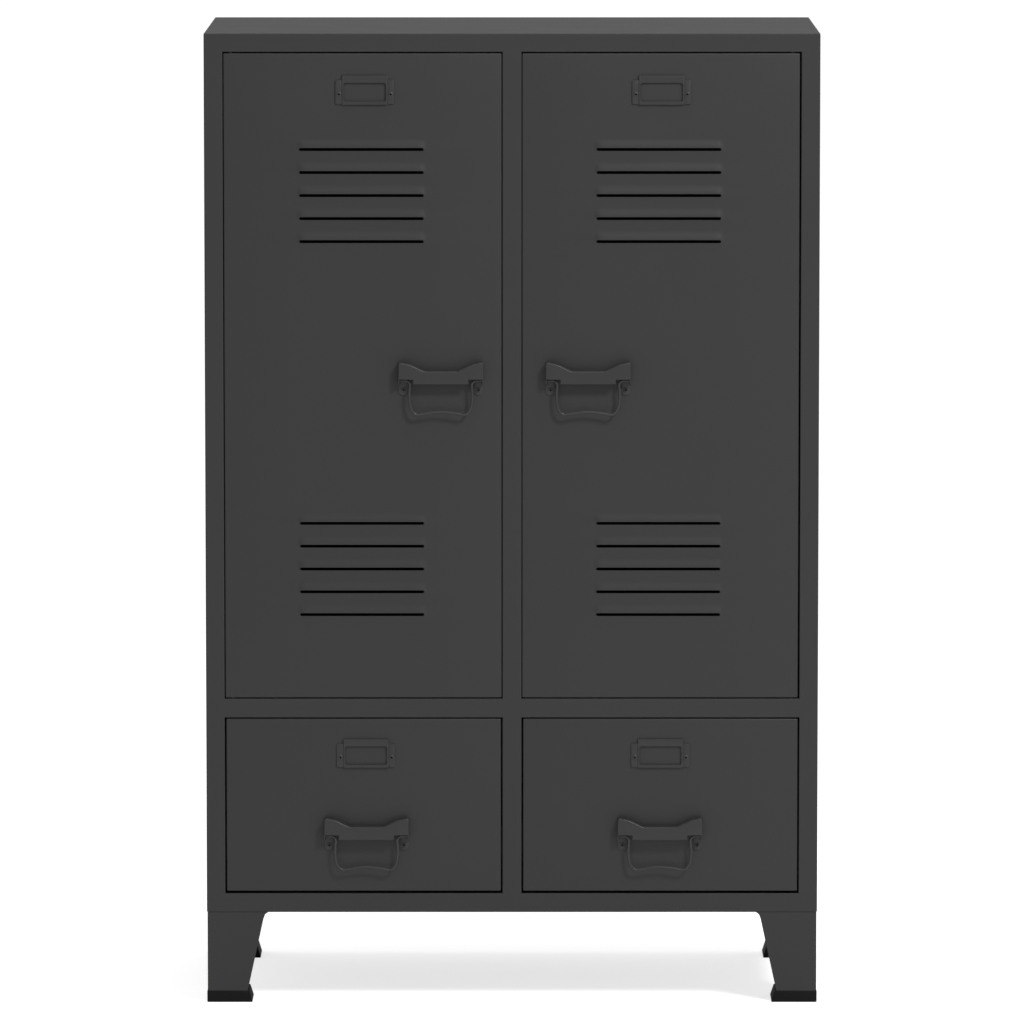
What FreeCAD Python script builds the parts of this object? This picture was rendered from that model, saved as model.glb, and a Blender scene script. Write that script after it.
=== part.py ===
"""Tall sheet-steel cabinet: two louvred doors over two drawers, on four folded legs.

Millimetres. +Z is up, the front faces -Y, and the origin lies on the floor under the
middle of the whole object, drop handles included.
"""
import FreeCAD, Part

import math
import os

import Sketcher

Vector = FreeCAD.Vector

SIZES = {
    # overall
    "width": 670, "depth": 350, "height": 1065, "leg_height": 100, "foot_height": 13,
    # sheet and folds
    "sheet": 1.0, "corner_bend": 1.5, "edge_bend": 1.1, "return_depth": 16, "back_flange": 15,
    # face frame
    "weld_stub": 3, "stile": 20.5, "top_rail": 20.5, "bottom_rail": 21, "mid_rail": 21, "post": 21,
    "drawer_bay": 194.5,
    # doors
    "panel_depth": 18, "panel_lip": 14, "door_top_gap": 1.3, "door_foot_gap": 1.0,
    "left_hinge_gap": 0.7, "left_free_gap": 0.7, "right_hinge_gap": 1.6, "right_free_gap": 0.45,
    "pivot_inset": 8, "pivot_back": 4, "pin_radius": 2.5, "pin_play": 0.05, "pin_bite": 5,
    # drawers
    "drawer_side_gap": 1.5, "drawer_top_gap": 1.15, "drawer_foot_gap": 2.5,
    "tray_depth": 300, "tray_height": 150, "tray_lift": 14, "drawer_travel": 240,
    "runner_width": 11, "runner_height": 34, "runner_wall": 1.5, "runner_play": 0.5, "runner_lift": 40,
    # inside
    "deck_flange": 15, "shelf_above_deck": 353.5, "shelf_lip": 15, "shelf_set_back": 34, "play": 0.5,
    "clip_height": 12, "clip_reach": 8, "clip_width": 12,
    "catch_width": 40, "catch_depth": 16, "catch_gap": 0.3, "strike_height": 22, "strike_thick": 1.2,
    # louvres
    "slot_length": 135.5, "slot_height": 3.3, "slot_pitch": 25.1, "upper_slots_drop": 206.3,
    "lower_slots_rise": 92.8,
    "hood_height": 11, "hood_rise": 1.8, "hood_end": 4, "hood_lip": 1.2,
    "left_louvres": 163.8, "right_louvres": 159.8,
    "stiffener_web": 20, "stiffener_flange": 10, "stiffener_rise": 12, "stiffener_centre": 70,
    "stiffener_margin": 20,
    # label holders
    "label_width": 64, "label_height": 26, "label_rise_height": 31, "label_core_drop": 1, "label_core": 50,
    "label_lift": 2.4, "label_sheet": 0.8, "window_width": 46, "window_height": 20.5, "label_ear_hole": 28,
    "door_label_drop": 56.5, "drawer_label_drop": 54.5, "label_hole_drop": 2.5, "window_corner": 2.5,
    "left_labels": 160, "right_labels": 162.5,
    # drop handles
    "bracket_width": 93, "bracket_end": 19, "bracket_dip": 10, "bracket_flat": 36, "bracket_slope": 27,
    "bracket_knee": 0.35, "bracket_knee_drop": 0.25, "bracket_tab": 30, "bracket_tab_drop": 5, "bracket_proud": 13,
    "bracket_wall": 1.2, "bracket_edge": 0.9,
    "lug_drop": 6, "lobe_drop": 18, "lobe_radius": 5.5, "lobe_centre": 41, "lobe_corner": 3.3,
    "wire": 1.45, "wire_play": 0.05, "bail_width": 67, "bail_drop": 38, "bail_wave": 4.3,
    "bail_corner": 6, "bail_bend": 3, "bail_nip": 0.6, "bail_end_play": 0.1, "wave_place": 0.42, "wave_share": 0.62,
    "bail_bow": 1.2, "bail_pivot_drop": 1.6, "bail_proud": 8.5,
    "door_handle_drop": 2.1, "drawer_handle_rise": 66.1,
    "left_door_handle": 77.5, "right_door_handle": 83, "left_drawer_handle": 159.4,
    "right_drawer_handle": 162,
    # rivets and screws
    "rivet_radius": 1.6, "rivet_head": 2.8, "rivet_head_height": 0.9, "rivet_eye": 0.8, "rivet_play": 0.05,
    "screw_radius": 2.5, "screw_head": 4.5, "screw_head_height": 2.5, "screw_length": 8,
    # legs
    "leg_foot_width": 44, "leg_shoulder_width": 61.5, "leg_top_width": 66.5, "leg_flare": 7,
    "leg_bend": 0.35, "leg_sheet": 1.5, "leg_inset": 0.6, "leg_plate": 58, "leg_screw_near": 18, "leg_screw_far": 44,
    "foot_top_width": 46, "foot_bottom_width": 50, "foot_bite": 6,
}

doc = FreeCAD.newDocument("Cabinet")
sheet_of_sizes = doc.addObject("Spreadsheet::Sheet", "Sizes")


class Length:
    """A number together with the sheet expression that gives it, so sums stay bound to the sheet."""

    def __init__(self, number, text):
        self.number = number
        self.text = text

    def _with(self, other, sign, number):
        text = other.text if isinstance(other, Length) else repr(float(other))
        return Length(number, f"({self.text} {sign} {text})")

    def __add__(self, other):
        return self._with(other, "+", self.number + number_of(other))

    def __sub__(self, other):
        return self._with(other, "-", self.number - number_of(other))

    def __mul__(self, other):
        return self._with(other, "*", self.number * number_of(other))

    def __truediv__(self, other):
        return self._with(other, "/", self.number / number_of(other))

    def __neg__(self):
        return Length(-self.number, f"(-{self.text})")


def number_of(value):
    return value.number if isinstance(value, Length) else float(value)


class Sizes:
    """The sheet's values by name."""


def fill_sheet():
    for row, (name, number) in enumerate(SIZES.items(), start=1):
        sheet_of_sizes.set(f"A{row}", name)
        sheet_of_sizes.set(f"B{row}", str(number))
        sheet_of_sizes.setAlias(f"B{row}", name)
        setattr(Sizes, name, Length(float(number), f"Sizes.{name}"))
    doc.recompute()


fill_sheet()
s = Sizes
ZERO = Length(0.0, "0")
PAST = 1  # how far a cutting tool reaches beyond a face
FAR_PAST = 5  # the same, for drills through stacked sheets
NEAR = 0.01  # two places closer than this are the same
SLOTS_IN_BANK = 5
ARC_SHARE = 0.45  # how much of a straight run its corner's arc takes

# places that follow from the sizes
FRONT = -(s.depth + s.bracket_proud) / 2 + s.bracket_proud
BACK = FRONT + s.depth
MIDDLE = FRONT + s.depth / 2
HALF = s.width / 2
INSIDE = HALF - s.sheet
BOTTOM = s.leg_height
TOP = s.height
OPENING_OUT = HALF - s.stile
OPENING_IN = s.post / 2
DRAWER_LOW = BOTTOM + s.bottom_rail
DRAWER_HIGH = DRAWER_LOW + s.drawer_bay
DOOR_LOW = DRAWER_HIGH + s.mid_rail
DOOR_HIGH = TOP - s.top_rail
FRAME_BACK = FRONT + s.return_depth
INNER_BACK = BACK - s.sheet * 2
SHELF_TOP = DOOR_LOW + s.shelf_above_deck
DOOR_HANDLE = (DOOR_LOW + DOOR_HIGH) / 2 - s.door_handle_drop
DRAWER_HANDLE = DRAWER_LOW + s.drawer_handle_rise
PIVOT_Y = FRONT + s.pivot_back

NORMALS = {"XY": 1, "XZ": -1, "YZ": 1}
nodes = {}


# ---------------------------------------------------------------- drawing helpers

def origin_plane(body, role):
    return [plane for plane in body.Origin.OriginFeatures if plane.Role == f"{role}_Plane"][0]


def new_body(name):
    return doc.addObject("PartDesign::Body", name)


def new_sketch(body, plane, start):
    """A sketch on one of the body's origin planes, moved to `start` along that plane's axis."""
    drawing = body.newObject("Sketcher::SketchObject", "Sketch")
    drawing.AttachmentSupport = [(origin_plane(body, plane), "")]
    drawing.MapMode = "FlatFace"
    drawing.setExpression("AttachmentOffset.Base.z", (start * NORMALS[plane]).text)
    return drawing


def pin_point(drawing, edge, end, point):
    for kind, value in zip(("DistanceX", "DistanceY"), point):
        index = drawing.addConstraint(Sketcher.Constraint(kind, -1, 1, edge, end, value.number))
        drawing.setExpression(f"Constraints[{index}]", value.text)


def add_outline(drawing, points):
    """A closed run of straight edges through the points, each point bound to the sheet."""
    first = drawing.GeometryCount
    places = [Vector(u.number, v.number, 0) for u, v in points]
    for here, there in zip(places, places[1:] + places[:1]):
        drawing.addGeometry(Part.LineSegment(here, there), False)
    count = len(points)
    for index in range(count):
        drawing.addConstraint(Sketcher.Constraint(
            "Coincident", first + index, 2, first + (index + 1) % count, 1))
    for index, point in enumerate(points):
        pin_point(drawing, first + index, 1, point)


def add_circle(drawing, centre, radius):
    edge = drawing.addGeometry(
        Part.Circle(Vector(centre[0].number, centre[1].number, 0), Vector(0, 0, 1), radius.number), False)
    pin_point(drawing, edge, 3, centre)
    index = drawing.addConstraint(Sketcher.Constraint("Radius", edge, radius.number))
    drawing.setExpression(f"Constraints[{index}]", radius.text)


def rectangle(u0, u1, v0, v1):
    return [(u0, v0), (u1, v0), (u1, v1), (u0, v1)]


def draw(body, plane, start, outlines, circles=()):
    drawing = new_sketch(body, plane, start)
    for points in outlines:
        add_outline(drawing, points)
    for centre, radius in circles:
        add_circle(drawing, centre, radius)
    return drawing


def pad(body, plane, start, end, outlines, circles=()):
    """Add material between start and end along the plane's axis."""
    feature = body.newObject("PartDesign::Pad", "Pad")
    feature.Profile = draw(body, plane, start, outlines, circles)
    feature.Reversed = NORMALS[plane] < 0
    feature.setExpression("Length", (end - start).text)
    doc.recompute()
    return feature


def pocket(body, plane, start, end, outlines, circles=()):
    """Remove material between start and end along the plane's axis."""
    before = body.Shape.Volume
    feature = body.newObject("PartDesign::Pocket", "Pocket")
    feature.Profile = draw(body, plane, start, outlines, circles)
    feature.Reversed = NORMALS[plane] > 0
    feature.setExpression("Length", (end - start).text)
    doc.recompute()
    if body.Shape.Volume >= before:
        raise RuntimeError(f"{body.Name}: a pocket cut nothing")
    return feature


def round_edges(body, base, radius, chosen):
    """Fillet the edges of the base feature that `chosen` accepts."""
    names = [f"Edge{index}" for index, edge in enumerate(base.Shape.Edges, start=1) if chosen(edge)]
    feature = body.newObject("PartDesign::Fillet", "Fillet")
    feature.Base = (base, names)
    feature.setExpression("Radius", radius.text)
    doc.recompute()
    return feature


def box(name, x, y, z):
    block = doc.addObject("Part::Box", name)
    for side, (low, high), letter in zip(("Length", "Width", "Height"), (x, y, z), "xyz"):
        block.setExpression(side, (high - low).text)
        block.setExpression(f"Placement.Base.{letter}", low.text)
    return block


def rod(name, axis, centre, radius, low, high):
    """A cylinder along an axis letter; centre is the other two coordinates, in X, Y, Z order."""
    turned = {"x": FreeCAD.Rotation(Vector(0, 1, 0), 90),
              "y": FreeCAD.Rotation(Vector(1, 0, 0), -90),
              "z": FreeCAD.Rotation()}[axis]
    cylinder = doc.addObject("Part::Cylinder", name)
    cylinder.Placement = FreeCAD.Placement(Vector(), turned)
    cylinder.setExpression("Radius", radius.text)
    cylinder.setExpression("Height", (high - low).text)
    others = [letter for letter in "xyz" if letter != axis]
    cylinder.setExpression(f"Placement.Base.{axis}", low.text)
    for letter, value in zip(others, centre):
        cylinder.setExpression(f"Placement.Base.{letter}", value.text)
    return cylinder


def cut(name, base, tool):
    feature = doc.addObject("Part::Cut", name)
    feature.Base = base
    feature.Tool = tool
    return feature


def fuse(name, pieces):
    feature = doc.addObject("Part::MultiFuse", name)
    feature.Shapes = pieces
    return feature


def common(name, base, tool):
    feature = doc.addObject("Part::Common", name)
    feature.Base = base
    feature.Tool = tool
    return feature


def group(name, pieces):
    feature = doc.addObject("Part::Compound", name)
    feature.Links = pieces
    return feature


def mirror(name, source, normal, base_y=None):
    feature = doc.addObject("Part::Mirroring", name)
    feature.Source = source
    feature.Normal = normal
    if base_y is not None:
        feature.setExpression("Base.y", base_y.text)
    return feature


def pan(name, x, y, z, wall, open_side):
    """A folded sheet box with one open side, such as '+z'."""
    outer = box(f"{name}_outer", x, y, z)
    spans = {"x": x, "y": y, "z": z}
    inner = {}
    for letter, (low, high) in spans.items():
        low_in = low - PAST if open_side == f"-{letter}" else low + wall
        high_in = high + PAST if open_side == f"+{letter}" else high - wall
        inner[letter] = (low_in, high_in)
    hollow = box(f"{name}_hollow", inner["x"], inner["y"], inner["z"])
    return cut(name, outer, hollow)


def keep(name, feature):
    """Give a finished sub-part its label, which names its file."""
    feature.Label = name
    nodes[name] = feature
    return feature


def sides():
    """The left-hand and right-hand halves: their name and their sign along X."""
    return (("left", -1), ("right", 1))


def of_side(name, what):
    """The value of a size that is set for each side by itself, such as left_labels."""
    return getattr(s, f"{name}_{what}")


def pivot_place(name, sign):
    return (OPENING_OUT - of_side(name, "hinge_gap") - s.pivot_inset) * sign, PIVOT_Y


def span(sign, near, far):
    """An X range from the middle outwards on one side, low value first."""
    return (near, far) if sign > 0 else (-far, -near)


# ---------------------------------------------------------------- welded skin

def skin():
    """The folded and welded outer sheet: top, bottom, sides and the face frame in one."""
    body = new_body("Skin")
    block = pad(body, "XZ", FRONT, BACK, [rectangle(-HALF, HALF, BOTTOM, TOP)])
    round_edges(body, block, s.corner_bend, lambda edge: True)
    pocket(body, "XZ", FRONT + s.sheet, BACK - s.sheet,
           [rectangle(-INSIDE, INSIDE, BOTTOM + s.sheet, TOP - s.sheet)])
    pocket(body, "XZ", BACK - s.sheet, BACK,
           [rectangle(-HALF + s.back_flange, HALF - s.back_flange,
                      BOTTOM + s.back_flange, TOP - s.back_flange)])
    openings = []
    rings = []
    for _, sign in sides():
        for low, high in ((DRAWER_LOW, DRAWER_HIGH), (DOOR_LOW, DOOR_HIGH)):
            x0, x1 = span(sign, OPENING_IN, OPENING_OUT)
            openings.append(rectangle(x0, x1, low, high))
            rings.append(rectangle(x0 - s.sheet, x1 + s.sheet, low - s.sheet, high + s.sheet))
    pad(body, "XZ", FRONT + s.sheet / 2, FRAME_BACK, openings + rings)
    last = pocket(body, "XZ", FRONT, FRONT + s.sheet, openings)

    def on_opening(edge):
        ends = [vertex.Point for vertex in edge.Vertexes]
        return all(abs(point.y - FRONT.number) < NEAR
                   and abs(point.x) < OPENING_OUT.number + NEAR
                   and DRAWER_LOW.number - NEAR < point.z < DOOR_HIGH.number + NEAR for point in ends)

    round_edges(body, last, s.edge_bend, on_opening)
    pocket(body, "XY", BOTTOM - PAST, BOTTOM + s.sheet + PAST, [],
           [(place, s.screw_radius + s.play) for place in screw_places()])
    return body


def skin_panels():
    """Part the skin along its weld lines, a short stub clear of each corner of an opening."""
    welded = skin()
    near = -OPENING_OUT + s.weld_stub
    far = OPENING_OUT - s.weld_stub
    depth = (FRONT - PAST, BACK + PAST)

    def parted(name, x, z):
        return common(name, welded, box(f"{name}Region", x, depth, z))

    left = keep("left_side_panel", parted("LeftSide", (-HALF - PAST, near), (BOTTOM - PAST, TOP + PAST)))
    keep("right_side_panel", mirror("RightSide", left, Vector(1, 0, 0)))
    keep("top_panel", parted("TopPanel", (near, far), (DOOR_HIGH - s.weld_stub, TOP + PAST)))
    keep("bottom_panel", parted("BottomPanel", (near, far), (BOTTOM - PAST, DRAWER_LOW + s.weld_stub)))
    keep("middle_rail", parted("MiddleRail", (near, far),
                               (DRAWER_HIGH - s.weld_stub, DOOR_LOW + s.weld_stub)))
    for name, low, high in (("lower", DRAWER_LOW, DRAWER_HIGH), ("upper", DOOR_LOW, DOOR_HIGH)):
        keep(f"{name}_centre_post", parted(f"{name}Post", (-OPENING_IN, OPENING_IN),
                                           (low + s.weld_stub, high - s.weld_stub)))


# ---------------------------------------------------------------- inside

def inside_panels():
    edge = INSIDE - s.play
    keep("back_panel", box("BackPanel", (-edge, edge), (INNER_BACK, BACK - s.sheet),
                           (BOTTOM + s.sheet, TOP - s.sheet)))
    keep("middle_deck", pan("Deck", (-INSIDE, INSIDE), (FRAME_BACK, INNER_BACK),
                            (DOOR_LOW - s.deck_flange, DOOR_LOW), s.sheet, "-z"))
    half_sheet = s.sheet / 2
    for name, low, high in (("upper", DOOR_LOW, TOP - s.sheet),
                            ("lower", BOTTOM + s.sheet, DOOR_LOW - s.deck_flange)):
        keep(f"{name}_partition", pan(f"{name}Partition", (-half_sheet, OPENING_IN),
                                      (FRAME_BACK, INNER_BACK), (low, high), s.sheet, "+x"))


def shelves():
    near = s.sheet / 2
    front = FRONT + s.shelf_set_back
    back = INNER_BACK - s.sheet - s.play
    low = SHELF_TOP - s.shelf_lip
    for name, sign in sides():
        x = span(sign, near + s.play, INSIDE - s.play)
        keep(f"{name}_shelf", pan(f"{name}Shelf", x, (front, back), (low, SHELF_TOP), s.sheet, "-z"))
        clips = []
        for start in (front + s.clip_width, back - s.clip_width * 2):
            for near_x, far_x in ((near, near + s.clip_reach), (INSIDE - s.clip_reach, INSIDE)):
                clips.append(box(f"{name}Clip", span(sign, near_x, far_x), (start, start + s.clip_width),
                                 (low - s.clip_height, low)))
        keep(f"{name}_shelf_clips", group(f"{name}Clips", clips))


# ---------------------------------------------------------------- legs

def screw_places():
    places = []
    for sign_x in (-1, 1):
        for near, far in ((s.leg_screw_near, s.leg_screw_far), (s.leg_screw_far, s.leg_screw_near)):
            x = (HALF - near) * sign_x
            places.append((x, FRONT + far))
            places.append((x, BACK - far))
    return places


def leg_outline(corner, direction):
    """Tapered plate, from its straight outer edge at `corner`; `direction` is +1 or -1."""
    shoulder = BOTTOM - s.leg_flare
    bend = BOTTOM - s.leg_flare * s.leg_bend
    middle_width = s.leg_shoulder_width + (s.leg_top_width - s.leg_shoulder_width) * s.leg_bend
    foot = s.foot_height - s.foot_bite
    return [(corner, foot), (corner, BOTTOM), (corner + s.leg_top_width * direction, BOTTOM),
            (corner + middle_width * direction, bend),
            (corner + s.leg_shoulder_width * direction, shoulder),
            (corner + s.leg_foot_width * direction, s.foot_height),
            (corner + s.leg_foot_width * direction, foot)]


def legs():
    x0 = -HALF + s.leg_inset
    y0 = FRONT + s.leg_inset
    body = new_body("Leg")
    pad(body, "XZ", y0, y0 + s.leg_sheet, [leg_outline(x0, 1)])
    pad(body, "YZ", x0, x0 + s.leg_sheet, [leg_outline(y0, 1)])
    plate = pad(body, "XY", BOTTOM - s.leg_sheet, BOTTOM,
                [rectangle(x0, x0 + s.leg_plate, y0, y0 + s.leg_plate)])

    def outer_corner(edge):
        return all(abs(v.Point.x - x0.number) < NEAR and abs(v.Point.y - y0.number) < NEAR
                   for v in edge.Vertexes)

    round_edges(body, plate, s.corner_bend, outer_corner)
    near, far = s.leg_screw_near, s.leg_screw_far
    holes = [((-HALF + near, FRONT + far), s.screw_radius + s.play),
             ((-HALF + far, FRONT + near), s.screw_radius + s.play)]
    pocket(body, "XY", BOTTOM - s.leg_sheet - PAST, BOTTOM + PAST, [], holes)
    four_corners("leg", body)


def feet():
    """Plastic glides, flared towards the floor, with a slot for the folded leg."""
    flare = s.foot_bottom_width - s.foot_top_width
    block = doc.addObject("Part::Wedge", "FootBlock")
    x0, y0 = -HALF, FRONT
    places = {"Xmin": x0, "Ymin": y0, "Zmin": ZERO,
              "Xmax": x0 + s.foot_bottom_width, "Ymax": y0 + s.foot_bottom_width, "Zmax": s.foot_height,
              "Z2min": ZERO, "Z2max": s.foot_height, "X2min": x0, "X2max": x0 + s.foot_bottom_width}
    for name, value in places.items():
        block.setExpression(name, value.text)
    body = new_body("FootTaper")
    slope = [(x0 + s.foot_top_width, s.foot_height + PAST), (x0 + s.foot_top_width, s.foot_height),
             (x0 + s.foot_bottom_width, ZERO), (x0 + s.foot_bottom_width + flare, ZERO),
             (x0 + s.foot_bottom_width + flare, s.foot_height + PAST)]
    pad(body, "XZ", y0 - PAST, y0 + s.foot_bottom_width + flare, [slope])
    slope_y = [(y0 + s.foot_top_width, s.foot_height + PAST), (y0 + s.foot_top_width, s.foot_height),
               (y0 + s.foot_bottom_width, ZERO), (y0 + s.foot_bottom_width + flare, ZERO),
               (y0 + s.foot_bottom_width + flare, s.foot_height + PAST)]
    pad(body, "YZ", x0 - PAST, x0 + s.foot_bottom_width + flare, [slope_y])
    shaped = cut("FootShaped", block, body)
    reach = s.leg_foot_width + s.play * 2
    low = s.foot_height - s.foot_bite
    x_in = x0 + s.leg_inset
    y_in = y0 + s.leg_inset
    slots = fuse("FootSlots", [
        box("FootSlotX", (x_in, x_in + reach), (y_in, y_in + s.leg_sheet), (low, s.foot_height + PAST)),
        box("FootSlotY", (x_in, x_in + s.leg_sheet), (y_in, y_in + reach), (low, s.foot_height + PAST))])
    four_corners("foot", cut("Foot", shaped, slots))


def four_corners(name, front_left):
    keep(f"front_left_{name}", front_left)
    keep(f"front_right_{name}", mirror(f"FrontRight_{name}", front_left, Vector(1, 0, 0)))
    back_left = mirror(f"BackLeft_{name}", front_left, Vector(0, 1, 0), MIDDLE)
    keep(f"back_left_{name}", back_left)
    keep(f"back_right_{name}", mirror(f"BackRight_{name}", back_left, Vector(1, 0, 0)))


def leg_screws():
    screws = []
    plate = BOTTOM - s.leg_sheet
    for place in screw_places():
        head = rod("ScrewHead", "z", place, s.screw_head, plate - s.screw_head_height, plate)
        shank = rod("ScrewShank", "z", place, s.screw_radius, plate - PAST, plate + s.screw_length)
        screws.append(fuse("Screw", [head, shank]))
    keep("leg_screws", group("LegScrews", screws))


# ---------------------------------------------------------------- doors

def panel_pan(name, x, z):
    """A folded front: flat face with rounded edges, a return on all four sides and an inner lip."""
    body = new_body(name)
    back = FRONT + s.panel_depth
    block = pad(body, "XZ", FRONT, back, [rectangle(x[0], x[1], z[0], z[1])])
    round_edges(body, block, s.corner_bend,
                lambda edge: any(v.Point.y < FRONT.number + NEAR for v in edge.Vertexes))
    for inset, start, end in ((s.sheet, FRONT + s.sheet, back - s.sheet), (s.panel_lip, back - s.sheet, back)):
        pocket(body, "XZ", start, end, [rectangle(x[0] + inset, x[1] - inset, z[0] + inset, z[1] - inset)])
    return body


def wedge(name, near, far, x_near, x_far, z_near, z_far):
    """A block that tapers along Y, from one rectangle at `near` to another at `far`."""
    block = doc.addObject("Part::Wedge", name)
    places = {"Ymin": near, "Ymax": far, "Xmin": x_near[0], "Xmax": x_near[1], "X2min": x_far[0],
              "X2max": x_far[1], "Zmin": z_near[0], "Zmax": z_near[1], "Z2min": z_far[0], "Z2max": z_far[1]}
    for label, value in places.items():
        block.setExpression(label, value.text)
    return block


def louvres(name, sign):
    """Pressed hoods and the slots under them, two banks of five."""
    hoods = []
    slots = []
    centre = of_side(name, "louvres") * sign
    x0 = centre - s.slot_length / 2
    x1 = centre + s.slot_length / 2
    end = s.hood_end
    for bank in (DOOR_LOW + s.lower_slots_rise, DOOR_HIGH - s.upper_slots_drop):
        for count in range(SLOTS_IN_BANK):
            low = bank + s.slot_pitch * count - s.slot_height / 2
            lip = low + s.slot_height
            high = lip + s.hood_height
            hoods.append(wedge("Hood", FRONT - s.hood_rise, FRONT + s.sheet / 2,
                               (x0, x1), (x0 - end, x1 + end), (lip, lip + s.hood_lip), (lip, high)))
            slots.append(wedge("Slot", FRONT - s.hood_rise + s.sheet, FRONT + s.sheet + PAST,
                               (x0 + s.sheet, x1 - s.sheet), (x0, x1),
                               (low, lip + s.hood_lip / 2), (low, high - s.sheet * 2)))
    return hoods, slots


def doors():
    z = (DOOR_LOW + s.door_foot_gap, DOOR_HIGH - s.door_top_gap)
    for name, sign in sides():
        x = span(sign, OPENING_IN + of_side(name, "free_gap"), OPENING_OUT - of_side(name, "hinge_gap"))
        blank = panel_pan(f"{name}DoorPan", x, z)
        hoods, slots = louvres(name, sign)
        holes = slots + rivet_holes(name, "door", sign)
        holes.append(rod("PivotBore", "z", pivot_place(name, sign), s.pin_radius + s.pin_play,
                         z[0] - PAST, z[1] + PAST))
        pressed = fuse(f"{name}Pressed", [blank] + hoods)
        keep(f"{name}_door", cut(f"{name}Door", pressed, fuse(f"{name}DoorHoles", holes)))
        stiffener(name, sign)
        strike(name, sign, z)


def stiffener(name, sign):
    """Hat-section stiffener spot-welded to the door's inner face."""
    face = FRONT + s.sheet
    half_web = s.stiffener_web / 2
    half = half_web + s.stiffener_flange
    centre = s.stiffener_centre * sign
    rise = face + s.stiffener_rise
    t = s.sheet
    points = [(centre - half, face), (centre - half, face + t), (centre - half_web, face + t),
              (centre - half_web, rise), (centre + half_web, rise), (centre + half_web, face + t),
              (centre + half, face + t), (centre + half, face), (centre + half_web - t, face),
              (centre + half_web - t, rise - t), (centre - half_web + t, rise - t),
              (centre - half_web + t, face)]
    body = new_body(f"{name}Stiffener")
    pad(body, "XY", DOOR_LOW + s.stiffener_margin, DOOR_HIGH - s.stiffener_margin, [points])
    keep(f"{name}_door_stiffener", body)


def strike(name, sign, z):
    """Strike plate on the door's top return, and the magnetic catch under the top panel."""
    x = span(sign, OPENING_IN + s.catch_depth, OPENING_IN + s.catch_depth + s.catch_width)
    plate_front = FRONT + s.panel_depth
    plate_back = plate_front + s.strike_thick
    keep(f"{name}_strike_plate", box(f"{name}Strike", x, (plate_front, plate_back),
                                     (z[1] - s.strike_height, z[1])))
    catch_front = plate_back + s.catch_gap
    keep(f"{name}_magnet_catch", box(f"{name}Catch", x, (catch_front, catch_front + s.catch_depth),
                                     (z[1] - s.strike_height, TOP - s.sheet)))


def hinge_pins():
    """Short pivot pins, welded in the frame, that the doors turn on."""
    for name, sign in sides():
        place = pivot_place(name, sign)
        low = rod(f"{name}LowPin", "z", place, s.pin_radius, DOOR_LOW, DOOR_LOW + s.pin_bite)
        high = rod(f"{name}HighPin", "z", place, s.pin_radius, DOOR_HIGH - s.pin_bite, DOOR_HIGH)
        keep(f"{name}_hinge_pins", group(f"{name}Pins", [low, high]))


# ---------------------------------------------------------------- rivets

def label_low(kind):
    return DOOR_HIGH - s.door_label_drop if kind == "door" else DRAWER_HIGH - s.drawer_label_drop


def label_rivet_places(name, kind, sign):
    middle = of_side(name, "labels") * sign
    height = label_low(kind) + s.label_height / 2 - s.label_hole_drop
    return [(middle - s.label_ear_hole, height), (middle + s.label_ear_hole, height)]


def handle_place(name, kind, sign):
    """Centre and the height of the bracket's lower end corners."""
    middle = of_side(name, f"{kind}_handle") * sign
    return middle, DOOR_HANDLE if kind == "door" else DRAWER_HANDLE


def handle_rivet_places(name, kind, sign):
    middle, height = handle_place(name, kind, sign)
    low = height - s.lobe_drop + s.lobe_radius
    return [(middle - s.lobe_centre, low), (middle + s.lobe_centre, low)]


def rivet_holes(name, kind, sign):
    places = label_rivet_places(name, kind, sign) + handle_rivet_places(name, kind, sign)
    return [rod("RivetHole", "y", (x, z), s.rivet_radius + s.rivet_play, FRONT - FAR_PAST, FRONT + FAR_PAST)
            for x, z in places]


def rivets(name, kind, sign):
    """Blind rivets: two hold the label frame and two the handle's back plate."""
    pieces = []
    seats = [(place, FRONT - s.label_sheet) for place in label_rivet_places(name, kind, sign)]
    seats += [(place, FRONT - s.bracket_wall) for place in handle_rivet_places(name, kind, sign)]
    for place, seat in seats:
        head = rod("RivetHead", "y", place, s.rivet_head, seat - s.rivet_head_height, seat)
        shank = rod("RivetShank", "y", place, s.rivet_radius, seat - s.rivet_head_height / 2,
                    FRONT + s.sheet * 3)
        eye = rod("RivetEye", "y", place, s.rivet_eye, seat - FAR_PAST, seat + s.sheet)
        pieces.append(cut("Rivet", fuse("RivetSolid", [head, shank]), eye))
    keep(f"{name}_{kind}_rivets", group(f"{name}{kind}Rivets", pieces))


# ---------------------------------------------------------------- label holders

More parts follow.
